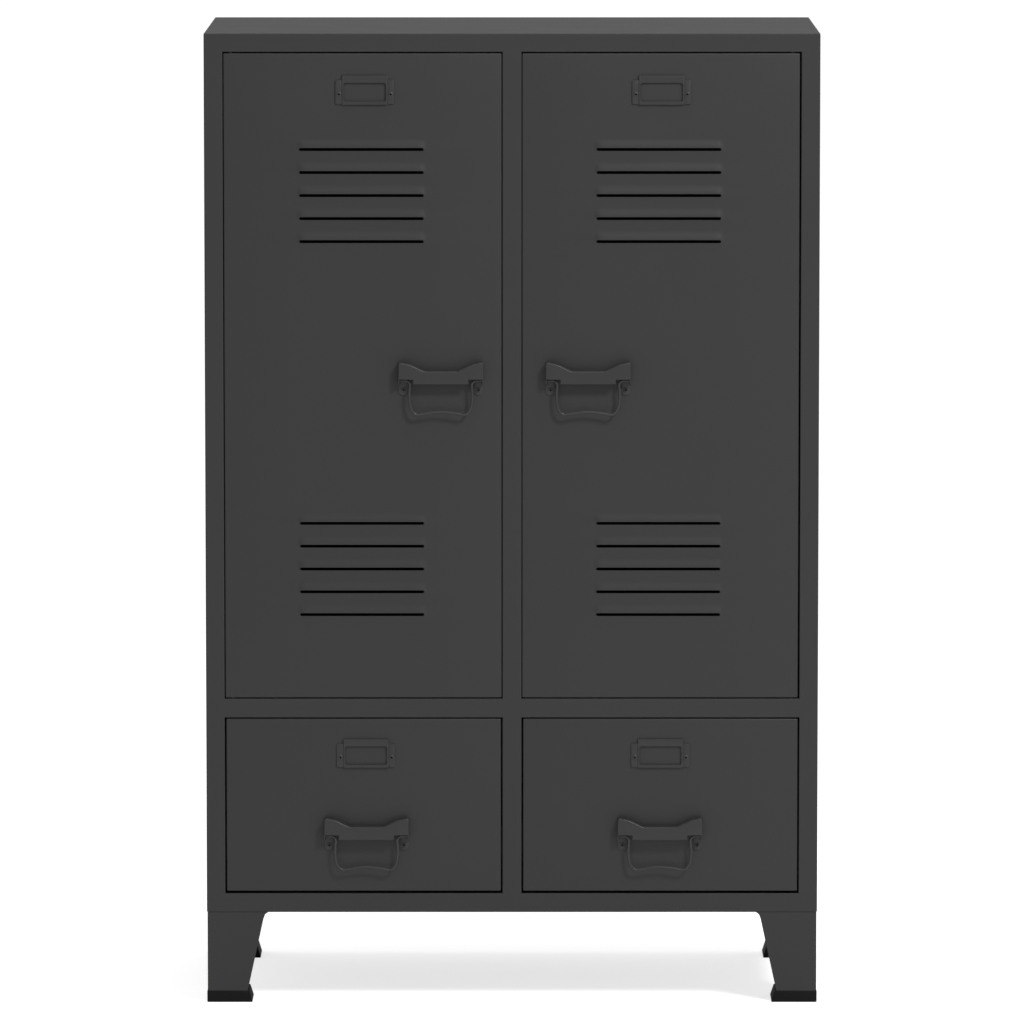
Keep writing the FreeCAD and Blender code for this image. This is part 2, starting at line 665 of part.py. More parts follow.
def label_holder(name, kind, sign):
    """Stamped card frame: flat riveted ears beside a raised window."""
    low = label_low(kind)
    middle = of_side(name, "labels") * sign
    half = s.label_width / 2
    core = s.label_core / 2
    back = FRONT
    raised = FRONT - s.label_lift
    body = new_body(f"{name}{kind}Label")
    pad(body, "XZ", back - s.label_sheet, back, [rectangle(middle - half, middle + half,
                                                           low, low + s.label_height)])
    block = pad(body, "XZ", raised, back, [rectangle(middle - core, middle + core,
                                                     low - s.label_core_drop, low + s.label_rise_height)])

    def front_rim(edge):
        return all(abs(v.Point.y - raised.number) < NEAR for v in edge.Vertexes)

    round_edges(body, block, s.label_sheet, front_rim)
    pocket(body, "XZ", raised + s.label_sheet, back,
           [rectangle(middle - core + s.label_sheet, middle + core - s.label_sheet,
                      low - s.label_core_drop + s.label_sheet, low + s.label_rise_height + PAST)])
    window_low = low + (s.label_height - s.window_height) / 2
    window = pocket(body, "XZ", raised, raised + s.label_sheet,
                    [rectangle(middle - s.window_width / 2, middle + s.window_width / 2,
                               window_low, window_low + s.window_height)])

    def window_corner(edge):
        ends = [vertex.Point for vertex in edge.Vertexes]
        return len(ends) == 2 and abs(edge.Length - s.label_sheet.number) < NEAR and all(
            abs(abs(point.x - middle.number) - s.window_width.number / 2) < NEAR
            and min(abs(point.z - window_low.number),
                    abs(point.z - window_low.number - s.window_height.number)) < NEAR for point in ends)

    round_edges(body, window, s.window_corner, window_corner)
    pocket(body, "XZ", back - s.label_sheet - PAST, back + PAST, [],
           [(place, s.rivet_radius + s.rivet_play) for place in label_rivet_places(name, kind, sign)])
    keep(f"{name}_{kind}_label_holder", body)


# ---------------------------------------------------------------- drop handles

def bracket_outline(middle, low, grow):
    """Front of the handle bracket, seen square on; `grow` is positive outwards."""
    half = s.bracket_width / 2 + grow
    tab = s.bracket_tab
    top = low + s.bracket_end + grow
    dip = low + s.bracket_end - s.bracket_dip + grow
    flat = s.bracket_flat / 2
    slope = s.bracket_slope + (s.bracket_width / 2 - s.bracket_slope) * s.bracket_knee
    knee = top - s.bracket_dip * s.bracket_knee_drop
    tab_low = low - s.bracket_tab_drop
    return [(middle - half, low), (middle - tab, low), (middle - tab, tab_low), (middle + tab, tab_low),
            (middle + tab, low), (middle + half, low), (middle + half, top),
            (middle + slope, knee), (middle + flat, dip),
            (middle - flat, dip), (middle - slope, knee), (middle - half, top)]


def bracket(name, kind, sign):
    """Pressed bracket: front plate, closed top and ends, open below, on a lobed back plate."""
    middle, low = handle_place(name, kind, sign)
    front = FRONT - s.bracket_proud
    wall = s.bracket_wall
    half = s.bracket_width / 2
    body = new_body(f"{name}{kind}Bracket")
    block = pad(body, "XZ", front, FRONT, [bracket_outline(middle, low, ZERO)])

    def front_rim(edge):
        return all(abs(v.Point.y - front.number) < NEAR for v in edge.Vertexes)

    round_edges(body, block, s.bracket_edge, front_rim)
    inside = bracket_outline(middle, low, -wall)
    deep = low - s.bracket_tab_drop - PAST
    hollow = [(middle - half + wall, deep), (middle + half - wall, deep)] + inside[6:]
    pocket(body, "XZ", front + wall, FRONT - wall, [hollow])
    lug_low = low - s.lug_drop
    pivot_y = FRONT - s.bail_proud
    reach = s.wire * 2
    for side in (-1, 1):
        outer = middle + half * side
        inner = middle + (half - wall) * side
        x0, x1 = (outer, inner) if side < 0 else (inner, outer)
        pad(body, "XZ", pivot_y - reach, FRONT, [rectangle(x0, x1, lug_low, low + wall)])
        lobe_low = low - s.lobe_drop
        c0 = middle + s.lobe_centre * side - s.lobe_radius
        c1 = middle + s.lobe_centre * side + s.lobe_radius
        pad(body, "XZ", FRONT - wall, FRONT, [[
            (c0, low + wall), (c0, lobe_low + s.lobe_corner), (c0 + s.lobe_corner, lobe_low),
            (c1 - s.lobe_corner, lobe_low), (c1, lobe_low + s.lobe_corner), (c1, low + wall)]])
    pocket(body, "YZ", middle - half - PAST, middle + half + PAST, [],
           [((pivot_y, low - s.bail_pivot_drop), s.wire + s.wire_play)])
    pocket(body, "XZ", FRONT - wall - PAST, FRONT + PAST, [],
           [(place, s.rivet_radius + s.rivet_play) for place in handle_rivet_places(name, kind, sign)])
    keep(f"{name}_{kind}_handle_bracket", body)


def bail_path(middle, low):
    """Centre line of the wire: out-turned pins, bowed arms and a waved grip."""
    y = number_of(FRONT - s.bail_proud)
    x = number_of(middle)
    pivot = number_of(low - s.bail_pivot_drop)
    arm = number_of(s.bail_width / 2)
    pin_end = number_of(s.bracket_width / 2 - s.bail_end_play)
    base = pivot - number_of(s.bail_drop)
    corner = number_of(s.bail_corner)
    bend = number_of(s.bail_bend)
    bow = number_of(s.bail_bow)
    wave = number_of(s.bail_wave)
    wire = number_of(s.wire)
    nip = number_of(s.bail_nip)
    wave_place = arm * number_of(s.wave_place)
    half = [(pin_end, pivot), (arm + bend, pivot), (arm, pivot - bend),
            (arm + bow, (pivot + base) / 2 + wire), (arm - nip, base + corner + wire),
            (arm - corner, base), (wave_place, base + wave * number_of(s.wave_share)), (0.0, base + wave)]
    points = half + [(-u, v) for u, v in reversed(half[:-1])]
    return [Vector(x + u, y, v) for u, v in points]


def bail(name, kind, sign):
    """Bent wire drop handle, swept as straight runs joined by tangent arcs."""
    middle, low = handle_place(name, kind, sign)
    points = bail_path(middle, low)
    edges = []
    start = points[0]
    for before, corner, after in zip(points, points[1:], points[2:]):
        to_before = (before - corner).normalize()
        to_after = (after - corner).normalize()
        turn = to_before.getAngle(to_after)
        shorter = min((before - corner).Length, (after - corner).Length)
        step = shorter * ARC_SHARE
        first = corner + to_before * step
        last = corner + to_after * step
        bisector = (to_before + to_after).normalize()
        edges.append(Part.LineSegment(start, first).toShape())
        centre_distance = step / math.cos(turn / 2)
        arc_radius = step * math.tan(turn / 2)
        middle_point = corner + bisector * (centre_distance - arc_radius)
        edges.append(Part.Arc(first, middle_point, last).toShape())
        start = last
    edges.append(Part.LineSegment(start, points[-1]).toShape())
    path = Part.Wire(edges)
    section = Part.Wire([Part.Circle(points[0], Vector(1, 0, 0), number_of(s.wire)).toShape()])
    feature = doc.addObject("Part::Feature", f"{name}{kind}Bail")
    feature.Shape = path.makePipeShell([section], True, False, 1)
    keep(f"{name}_{kind}_bail", feature)


# ---------------------------------------------------------------- drawers

def drawers():
    z = (DRAWER_LOW + s.drawer_foot_gap, DRAWER_HIGH - s.drawer_top_gap)
    for name, sign in sides():
        x = span(sign, OPENING_IN + s.drawer_side_gap, OPENING_OUT - s.drawer_side_gap)
        blank = panel_pan(f"{name}DrawerPan", x, z)
        holes = fuse(f"{name}FrontHoles", rivet_holes(name, "drawer", sign))
        keep(f"{name}_drawer_front", cut(f"{name}DrawerFront", blank, holes))
        tray(name, sign)
        runners(name, sign)


def tray(name, sign):
    front = FRONT + s.panel_depth
    low = DRAWER_LOW + s.tray_lift
    clear = s.runner_width + s.runner_play
    x = span(sign, OPENING_IN + clear, OPENING_OUT - clear)
    keep(f"{name}_drawer_tray", pan(f"{name}Tray", x, (front, front + s.tray_depth),
                                    (low, low + s.tray_height), s.sheet, "+z"))


def runners(name, sign):
    """Channel rails on stand-offs, and the slide bars on the tray that run in them."""
    front = FRONT + s.panel_depth + s.runner_wall
    low = DRAWER_LOW + s.runner_lift
    high = low + s.runner_height
    wall = s.runner_wall
    play = s.runner_play
    rails = []
    slides = []
    outer_web = OPENING_OUT - s.runner_width
    inner_web = OPENING_IN + s.runner_width
    rail_spans = ((OPENING_IN, inner_web, s.sheet / 2, OPENING_IN + wall, 1),
                  (outer_web, OPENING_OUT, OPENING_OUT - wall, INSIDE, -1))
    for near, far, stand_near, stand_far, opens in rail_spans:
        block = box("RailBlock", span(sign, near, far), (front, INNER_BACK), (low, high))
        channel = (near + wall, far + PAST) if opens > 0 else (near - PAST, far - wall)
        groove = box("RailGroove", span(sign, *channel), (front - PAST, INNER_BACK + PAST),
                     (low + wall, high - wall))
        rail = cut("RailChannel", block, groove)
        stands = [box("RailStand", span(sign, stand_near, stand_far), (start, start + s.runner_height),
                      (low, high))
                  for start in (front + s.runner_height, INNER_BACK - s.runner_height * 2)]
        rails.append(fuse("Rail", [rail] + stands))
        bar = (near + wall + play, far + play) if opens > 0 else (near - play, far - wall - play)
        open_side = "+x" if opens * sign < 0 else "-x"
        slides.append(pan(f"{name}Slide", span(sign, *bar), (front, FRONT + s.panel_depth + s.tray_depth),
                          (low + wall + play, high - wall - play), wall, open_side))
    keep(f"{name}_drawer_rails", group(f"{name}Rails", rails))
    keep(f"{name}_drawer_slides", group(f"{name}Slides", slides))


# ---------------------------------------------------------------- whole object

def fittings():
    for name, sign in sides():
        for kind in ("door", "drawer"):
            label_holder(name, kind, sign)
            bracket(name, kind, sign)
            rivets(name, kind, sign)
            bail(name, kind, sign)


def check_document():
    doc.recompute()
    for thing in doc.Objects:
        if "Invalid" in thing.State or "Error" in thing.State:
            raise RuntimeError(f"{thing.Name} ({thing.Label}) failed: {thing.State}")
    for name, feature in nodes.items():
        if feature.Shape.isNull() or not feature.Shape.isValid():
            raise RuntimeError(f"{name} has no valid shape")


def write_parts():
    os.makedirs("parts", exist_ok=True)
    for name, feature in nodes.items():
        feature.Shape.exportStep(f"parts/{name}.step")
        print(name, len(feature.Shape.Solids), round(feature.Shape.Volume, 1))


skin_panels()
inside_panels()
shelves()
legs()
feet()
leg_screws()
doors()
hinge_pins()
drawers()
fittings()
check_document()
write_parts()
print(len(nodes), "nodes; travel", s.drawer_travel.number, "mm")
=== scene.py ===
"""Looks of a tall louvred steel locker cabinet: finishes, pressed fittings, light and camera."""

import logging
import math
from dataclasses import dataclass, field
from enum import Enum
from typing import Iterable, Sequence

import bmesh
import bpy
from mathutils import Matrix, Vector

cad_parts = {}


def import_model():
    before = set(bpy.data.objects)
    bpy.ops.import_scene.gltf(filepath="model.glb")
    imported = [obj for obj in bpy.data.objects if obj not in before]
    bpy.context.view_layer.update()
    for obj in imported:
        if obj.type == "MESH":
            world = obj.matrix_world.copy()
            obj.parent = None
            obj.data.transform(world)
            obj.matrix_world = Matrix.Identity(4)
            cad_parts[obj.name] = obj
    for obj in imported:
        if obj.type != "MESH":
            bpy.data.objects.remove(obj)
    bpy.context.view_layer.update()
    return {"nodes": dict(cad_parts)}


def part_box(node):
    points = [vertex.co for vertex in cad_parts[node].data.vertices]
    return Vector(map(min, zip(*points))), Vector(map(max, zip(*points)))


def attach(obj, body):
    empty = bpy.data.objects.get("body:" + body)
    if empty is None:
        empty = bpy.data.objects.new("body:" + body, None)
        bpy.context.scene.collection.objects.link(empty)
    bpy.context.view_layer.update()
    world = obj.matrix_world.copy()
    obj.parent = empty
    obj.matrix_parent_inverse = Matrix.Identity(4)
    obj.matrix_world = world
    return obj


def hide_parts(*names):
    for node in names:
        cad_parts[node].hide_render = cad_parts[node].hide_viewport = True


logging.basicConfig(level=logging.INFO, format="%(message)s")
LOG = logging.getLogger("cabinet")

Point = tuple[float, float, float]
Edges = list[bmesh.types.BMEdge]
Faces = list[bmesh.types.BMFace]
MM = 0.001
HAIR = 0.01 * MM
CUT_NEAR = 0.001 * MM
WELD_NEAR = 0.002 * MM
FRONT_EDGE = 50.0


class Side(Enum):
    """The two halves of the cabinet, seen from the front."""

    LEFT = "left"
    RIGHT = "right"


class Front(Enum):
    """What closes an opening: a hinged door or a drawer."""

    DOOR = "door"
    DRAWER = "drawer"


# ------------------------------------------------------------------ finishes


class NodeBench:
    """Adds and joins the shader nodes of one material."""

    MIX_DARK, MIX_LIGHT, MIX_COLOUR = 6, 7, 2

    def __init__(self, name: str) -> None:
        """Make an empty material with a Principled shader.

        Args:
            name: The material's name.
        """
        self.material = bpy.data.materials.new(name)
        self.material.use_nodes = True
        self.tree = self.material.node_tree
        self.shader = self.tree.nodes["Principled BSDF"]
        self.coordinates = self.tree.nodes.new("ShaderNodeTexCoord")

    def node(self, kind: str, **settings: object) -> bpy.types.Node:
        """Add a node and set its inputs or properties by name.

        Args:
            kind: The node's type name.
            settings: Input names with spaces written as underscores, or properties.

        Returns:
            The new node.
        """
        made = self.tree.nodes.new(kind)
        for name, value in settings.items():
            label = name.replace("_", " ")
            if label in made.inputs:
                made.inputs[label].default_value = value
            else:
                setattr(made, name, value)
        return made

    def join(self, source: bpy.types.NodeSocket, target: bpy.types.NodeSocket) -> None:
        """Link one socket to another."""
        self.tree.links.new(source, target)

    def noise(self, size: float, detail: float = 2.0) -> bpy.types.Node:
        """Add noise on object coordinates.

        Args:
            size: Width of one feature in metres.
            detail: Octaves of finer detail.

        Returns:
            The noise node.
        """
        made = self.node("ShaderNodeTexNoise", Scale=1.0 / size, Detail=detail, Roughness=0.55)
        self.join(self.coordinates.outputs["Object"], made.inputs["Vector"])
        return made

    def ramp(self, source: bpy.types.NodeSocket, low: float, high: float) -> bpy.types.NodeSocket:
        """Map a 0 to 1 value to the range from low to high.

        Args:
            source: The value.
            low: Result at 0.
            high: Result at 1.

        Returns:
            The mapped value's socket.
        """
        made = self.node("ShaderNodeMapRange", To_Min=low, To_Max=high)
        self.join(source, made.inputs["Value"])
        return made.outputs["Result"]

    def tint(self, source: bpy.types.NodeSocket, dark: Sequence[float], light: Sequence[float]) -> None:
        """Colour the shader between two shades by a 0 to 1 value.

        Args:
            source: The value.
            dark: Colour at 0, linear.
            light: Colour at 1, linear.
        """
        made = self.node("ShaderNodeMix", data_type="RGBA")
        made.inputs[self.MIX_DARK].default_value = (*dark, 1.0)
        made.inputs[self.MIX_LIGHT].default_value = (*light, 1.0)
        self.join(source, made.inputs["Factor"])
        self.join(made.outputs[self.MIX_COLOUR], self.shader.inputs["Base Color"])

    def bump(self, heights: Iterable[tuple[bpy.types.NodeSocket, float]]) -> None:
        """Stack bumps on the shader's normal.

        Args:
            heights: Pairs of a 0 to 1 height socket and its depth in metres.
        """
        normal = None
        for source, depth in heights:
            made = self.node("ShaderNodeBump", Distance=depth, Strength=1.0)
            self.join(source, made.inputs["Height"])
            if normal is not None:
                self.join(normal, made.inputs["Normal"])
            normal = made.outputs["Normal"]
        self.join(normal, self.shader.inputs["Normal"])


@dataclass(frozen=True)
class PowderCoat:
    """Baked powder coat on steel: even colour, soft gloss and a fine orange peel."""

    name: str
    shade: float
    roughness: float = 0.5
    peel_width: float = 0.9 * MM
    peel_depth: float = 0.012 * MM
    cloud_width: float = 60 * MM
    cloud_share: float = 0.6
    dark_share: Point = (0.965, 0.965, 0.97)
    light_share: Point = (1.035, 1.035, 1.03)
    roughness_swing: float = 0.04

    def build(self) -> bpy.types.Material:
        """Make the material.

        Returns:
            The finished material.
        """
        bench = NodeBench(self.name)
        cloud = bench.noise(self.cloud_width, 3.0)
        grain = bench.noise(self.peel_width * 0.5, 3.0)
        peel = bench.noise(self.peel_width, 1.0)
        dark = tuple(self.shade * share for share in self.dark_share)
        light = tuple(self.shade * share for share in self.light_share)
        mixed = bench.node("ShaderNodeMath", operation="ADD")
        bench.join(bench.ramp(cloud.outputs["Fac"], 0.0, self.cloud_share), mixed.inputs[0])
        bench.join(bench.ramp(grain.outputs["Fac"], 0.0, 1.0 - self.cloud_share), mixed.inputs[1])
        bench.tint(mixed.outputs["Value"], dark, light)
        swing = self.roughness_swing
        bench.join(bench.ramp(cloud.outputs["Fac"], self.roughness - swing, self.roughness + swing),
                   bench.shader.inputs["Roughness"])
        bench.bump([(peel.outputs["Fac"], self.peel_depth), (grain.outputs["Fac"], self.peel_depth / 3)])
        return bench.material


@dataclass(frozen=True)
class ZincPlate:
    """Zinc-plated steel: dull metal with faint crystals and drawing lines."""

    name: str
    shade: Point = (0.56, 0.57, 0.58)
    roughness: float = 0.36
    crystal_width: float = 6 * MM
    dull_share: float = 0.9
    smoother: float = 0.06
    rougher: float = 0.08
    grain_width: float = 0.6 * MM
    grain_depth: float = 0.006 * MM

    def build(self) -> bpy.types.Material:
        """Make the material.

        Returns:
            The finished material.
        """
        bench = NodeBench(self.name)
        bench.shader.inputs["Metallic"].default_value = 1.0
        crystals = bench.node("ShaderNodeTexVoronoi", Scale=1.0 / self.crystal_width)
        bench.join(bench.coordinates.outputs["Object"], crystals.inputs["Vector"])
        grey = bench.node("ShaderNodeSeparateColor")
        bench.join(crystals.outputs["Color"], grey.inputs["Color"])
        bench.tint(grey.outputs["Red"], tuple(c * self.dull_share for c in self.shade), self.shade)
        low, high = self.roughness - self.smoother, self.roughness + self.rougher
        bench.join(bench.ramp(grey.outputs["Green"], low, high), bench.shader.inputs["Roughness"])
        grain = bench.noise(self.grain_width, 2.0)
        bench.bump([(grain.outputs["Fac"], self.grain_depth)])
        return bench.material


@dataclass(frozen=True)
class MouldedPlastic:
    """Moulded plastic with a fine spark-eroded grain."""

    name: str
    shade: Point
    roughness: float = 0.55
    grain_width: float = 0.45 * MM
    grain_depth: float = 0.015 * MM
    gloss: float = 0.5
    cloud_width: float = 12 * MM
    cloud_swing: float = 0.08
    roughness_swing: float = 0.05

    def build(self) -> bpy.types.Material:
        """Make the material.

        Returns:
            The finished material.
        """
        bench = NodeBench(self.name)
        grain = bench.noise(self.grain_width, 2.0)
        bench.shader.inputs["Specular IOR Level"].default_value = self.gloss
        cloud = bench.noise(self.cloud_width, 2.0)
        dark = tuple(c * (1 - self.cloud_swing) for c in self.shade)
        light = tuple(c * (1 + self.cloud_swing) for c in self.shade)
        bench.tint(cloud.outputs["Fac"], dark, light)
        swing = self.roughness_swing
        bench.join(bench.ramp(grain.outputs["Fac"], self.roughness - swing, self.roughness + swing),
                   bench.shader.inputs["Roughness"])
        bench.bump([(grain.outputs["Fac"], self.grain_depth)])
        return bench.material


@dataclass
class PaintShop:
    """All finishes, and the CAD nodes that wear each of them."""

    skin: bpy.types.Material = field(init=False)
    inside: bpy.types.Material = field(init=False)
    fitting: bpy.types.Material = field(init=False)
    zinc: bpy.types.Material = field(init=False)
    pin: bpy.types.Material = field(init=False)
    wire: bpy.types.Material = field(init=False)
    glide: bpy.types.Material = field(init=False)
    catch: bpy.types.Material = field(init=False)

    def __post_init__(self) -> None:
        """Mix every finish once."""
        self.skin = PowderCoat("anthracite_powder_coat", 0.0345).build()
        self.inside = PowderCoat("anthracite_powder_coat_inside", 0.033, roughness=0.55).build()
        self.fitting = PowderCoat("anthracite_fitting_coat", 0.037, roughness=0.42,
                                  peel_width=0.6 * MM, peel_depth=0.006 * MM).build()
        self.zinc = ZincPlate("zinc_plated_steel").build()
        # Pins, rails and slides share a near-black steel. On the pins it is their own dark finish. The rails
        # and slides are zinc-plated, so on them the near-black is painted shade that keeps the gaps around
        # the fronts dark.
        self.pin = ZincPlate("dark_pin_and_gap_shade_steel", (0.06, 0.06, 0.06), 0.5).build()
        self.wire = PowderCoat("anthracite_wire_coat", 0.045, roughness=0.3, peel_width=0.6 * MM,
                               peel_depth=0.004 * MM).build()
        self.glide = MouldedPlastic("black_glide_plastic", (0.003, 0.003, 0.003), gloss=0.25).build()
        self.catch = MouldedPlastic("grey_catch_plastic", (0.35, 0.35, 0.34)).build()

    def finish_for(self, node: str) -> bpy.types.Material:
        """Choose a CAD node's finish from its name.

        Args:
            node: The node's name.

        Returns:
            The material.
        """
        if node.endswith("foot"):
            return self.glide
        if "magnet" in node:
            return self.catch
        # Rails and slides get the near-black steel: painted shade for the gaps around the fronts.
        if any(word in node for word in ("pins", "rails", "slides")):
            return self.pin
        if any(word in node for word in ("screws", "strike")):
            return self.zinc
        if "bail" in node:
            return self.wire
        if any(word in node for word in ("bracket", "label", "rivets")):
            return self.fitting
        if any(word in node for word in ("shelf", "deck", "partition", "tray", "stiffener", "back_panel")):
            return self.inside
        return self.skin

    def dress(self, nodes: dict[str, bpy.types.Object]) -> None:
        """Give every CAD node its finish.

        Args:
            nodes: The CAD nodes by name.
        """
        for name, node in nodes.items():
            node.data.materials.clear()
            node.data.materials.append(self.finish_for(name))


# ------------------------------------------------------------------ drawing


class Metalwork:
    """Draws one piece: outlines, filled and bridged faces, folds and rounded rims."""

    def __init__(self) -> None:
        """Start with nothing drawn."""
        self.draft = bmesh.new()

    def outline(self, points: Iterable[Sequence[float]], y: float) -> Edges:
        """Draw a closed run of edges in the plane at one Y.

        Args:
            points: The X and Z of each corner, in metres.
            y: The plane's Y.

        Returns:
            The edges in order.
        """
        corners = [self.draft.verts.new((x, y, z)) for x, z in points]
        return [self.draft.edges.new(pair) for pair in zip(corners, corners[1:] + corners[:1])]

    def fill(self, edges: Edges) -> Faces:
        """Close an outline with one face that looks to the front.

        Args:
            edges: The outline.

        Returns:
            The new faces.
        """
        faces = bmesh.ops.contextual_create(self.draft, geom=list(edges))["faces"]
        return self.face_front(faces)

    def ring(self, outer: Edges, inner: Edges) -> Faces:
        """Bridge two outlines of equal count with faces that look to the front.

        Args:
            outer: The outer outline.
            inner: The inner outline.

        Returns:
            The new faces.
        """
        faces = bmesh.ops.bridge_loops(self.draft, edges=[*outer, *inner])["faces"]
        return self.face_front(faces)

    def face_front(self, faces: Faces) -> Faces:
        """Turn faces so that they look towards -Y.

        Args:
            faces: The faces.

        Returns:
            The same faces.
        """
        self.draft.normal_update()
        for face in faces:
            if face.normal.y > 0:
                face.normal_flip()
        return list(faces)

    def fold(self, edges: Edges, reach: float) -> Edges:
        """Fold a flange backwards from the given edges.

        Args:
            edges: The edges to fold at.
            reach: The flange's depth along +Y.

        Returns:
            The flange's free edges.
        """
        made = bmesh.ops.extrude_edge_only(self.draft, edges=list(edges))["geom"]
        corners = [item for item in made if isinstance(item, bmesh.types.BMVert)]
        bmesh.ops.translate(self.draft, verts=corners, vec=(0.0, reach, 0.0))
        return [item for item in made if isinstance(item, bmesh.types.BMEdge)]

    def slab(self, faces: Faces, depth: float) -> None:
        """Give front faces a solid depth.

        Args:
            faces: The faces.
            depth: How far the solid reaches along +Y.
        """
        made = bmesh.ops.extrude_face_region(self.draft, geom=list(faces), use_keep_orig=True)["geom"]
        back = [item for item in made if isinstance(item, bmesh.types.BMVert)]
        bmesh.ops.translate(self.draft, verts=back, vec=(0.0, depth, 0.0))
        bmesh.ops.recalc_face_normals(self.draft, faces=self.draft.faces[:])

    def soften(self, edges: Iterable[bmesh.types.BMEdge], radius: float, steps: int) -> None:
        """Round edges.

        Args:
            edges: The edges.
            radius: The rounding's radius.
            steps: Faces across the rounding.
        """
        bmesh.ops.bevel(self.draft, geom=list(edges), offset=radius, segments=steps, profile=0.5,
                        affect="EDGES", material=-1, clamp_overlap=True)

    def sharp_edges(self, degrees: float, y_limit: float) -> Edges:
        """The edges that turn more than an angle and lie in front of a limit.

        Args:
            degrees: The least turn.
            y_limit: The greatest Y of an edge's ends.

        Returns:
            The edges.
        """
        self.draft.normal_update()
        return [edge for edge in self.draft.edges
                if len(edge.link_faces) == 2 and edge.calc_face_angle(0.0) > math.radians(degrees)
                and all(vert.co.y < y_limit for vert in edge.verts)]

    def trim(self, place: Point, outwards: Point) -> None:
        """Cut away what lies beyond a plane.

        Args:
            place: A point of the plane.
            outwards: The direction that is cut away.
        """
        draft = self.draft
        bmesh.ops.bisect_plane(draft, geom=[*draft.verts, *draft.edges, *draft.faces], plane_co=place,
                               plane_no=outwards, clear_outer=True, dist=CUT_NEAR)

    def score(self, place: Point, normal: Point) -> None:
        """Cut a line into the sheet where a plane crosses it, and keep both sides.

        Args:
            place: A point of the plane.
            normal: The plane's direction.
        """
        draft = self.draft
        bmesh.ops.bisect_plane(draft, geom=[*draft.verts, *draft.edges, *draft.faces], plane_co=place,
                               plane_no=normal, dist=CUT_NEAR)

    def gauge(self, thickness: float) -> None:
        """Give the sheet its thickness, inwards.

        Args:
            thickness: The sheet's gauge.
        """
        bmesh.ops.recalc_face_normals(self.draft, faces=self.draft.faces[:])
        bmesh.ops.solidify(self.draft, geom=self.draft.faces[:], thickness=thickness)
        bmesh.ops.remove_doubles(self.draft, verts=self.draft.verts[:], dist=WELD_NEAR)

    def block(self, low: Point, high: Point) -> None:
        """Draw a block from its two corners.

        Args:
            low: The lowest corner.
            high: The highest corner.
        """
        size = Vector(high) - Vector(low)
        middle = (Vector(high) + Vector(low)) / 2
        place = Matrix.Translation(middle) @ Matrix.Diagonal((*size, 1.0))
        bmesh.ops.create_cube(self.draft, size=1.0, matrix=place)

    def deliver(self, name: str, paint: bpy.types.Material, body: str, stands_for: Sequence[str],
                smooth: float = 32.0) -> bpy.types.Object:
        """Finish the piece: shade it, paint it and fix it to its body.

        Args:
            name: The piece's name.
            paint: Its material.
            body: The body that it rides on.
            stands_for: The CAD nodes that it is shown in place of.
            smooth: The greatest turn in degrees that is shaded smooth.

        Returns:
            The piece.
        """
        mesh = bpy.data.meshes.new(name)
        self.draft.normal_update()
        self.draft.to_mesh(mesh)
        self.draft.free()
        return fix_piece(name, mesh, paint, body, stands_for, smooth)


def fix_piece(name: str, mesh: bpy.types.Mesh, paint: bpy.types.Material, body: str,
              stands_for: Sequence[str], smooth: float = 32.0) -> bpy.types.Object:
    """Shade and paint a mesh and fix it to its body.

    Args:
        name: The piece's name.
        mesh: Its mesh, drawn in place.
        paint: Its material.
        body: The body that it rides on.
        stands_for: The CAD nodes that it is shown in place of.
        smooth: The greatest turn in degrees that is shaded smooth.

    Returns:
        The piece.
    """
    mesh.shade_smooth()
    mesh.set_sharp_from_angle(angle=math.radians(smooth))
    mesh.materials.clear()
    mesh.materials.append(paint)
    piece = bpy.data.objects.new(name, mesh)
    bpy.context.scene.collection.objects.link(piece)
    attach(piece, body)
    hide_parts(*stands_for)
    return piece


def rounded(points: Sequence[Sequence[float]], radii: Sequence[float] | float, steps: int = 6,
            closed: bool = True) -> list[Vector]:
    """Replace the corners of a run by tangent arcs.

    Args:
        points: The corners, in two or three dimensions.
        radii: One radius, or one for each corner.
        steps: Pieces of each arc.
        closed: Whether the run closes on itself.

    Returns:
        The points of the rounded run.
    """
    sizes = [radii] * len(points) if isinstance(radii, (int, float)) else list(radii)
    result: list[Vector] = []
    for index, (point, radius) in enumerate(zip(points, sizes)):
        corner = Vector(point)
        if radius <= 0 or (not closed and index in (0, len(points) - 1)):
            result.append(corner)
            continue
        before = Vector(points[index - 1]) - corner
        after = Vector(points[(index + 1) % len(points)]) - corner
        to_before, to_after = before.normalized(), after.normalized()
        half = to_before.angle(to_after) / 2
        reach = min(radius / math.tan(half), before.length * 0.46, after.length * 0.46)
        fitted = reach * math.tan(half)
        centre = corner + (to_before + to_after).normalized() * (fitted / math.sin(half))
        start, end = corner + to_before * reach - centre, corner + to_after * reach - centre
        sweep = start.angle(end)
        for step in range(steps + 1):
            part = step / steps
            result.append(centre + (start * math.sin((1 - part) * sweep) + end * math.sin(part * sweep))
                          / math.sin(sweep))
    return result


def rounded_rectangle(middle: float, half: float, low: float, high: float, radius: float,
                      steps: int = 6) -> list[Vector]:
    """Draw a rectangle with rounded corners, in X and Z.

    Args:
        middle: The X of its middle.
        half: Half its width.
        low: Its lower edge's Z.
        high: Its upper edge's Z.
        radius: The corners' radius.
        steps: Pieces of each arc.

    Returns:
        The outline's points.
    """
    return rounded([(middle - half, low), (middle + half, low), (middle + half, high), (middle - half, high)],
                   radius, steps)


def ease(value: float) -> float:
    """A smooth step from 0 to 1."""
    clipped = min(1.0, max(0.0, value))
    return clipped * clipped * (3 - 2 * clipped)


# ------------------------------------------------------------------ fittings


@dataclass(frozen=True)
class Seat:
    """Where a fitting sits on a front."""

    side: Side
    front: Front
    x: float
    z: float
    y: float

    @property
    def body(self) -> str:
        """The body of the door or drawer that carries the fitting."""
        return f"{self.side.value}_{self.front.value}"


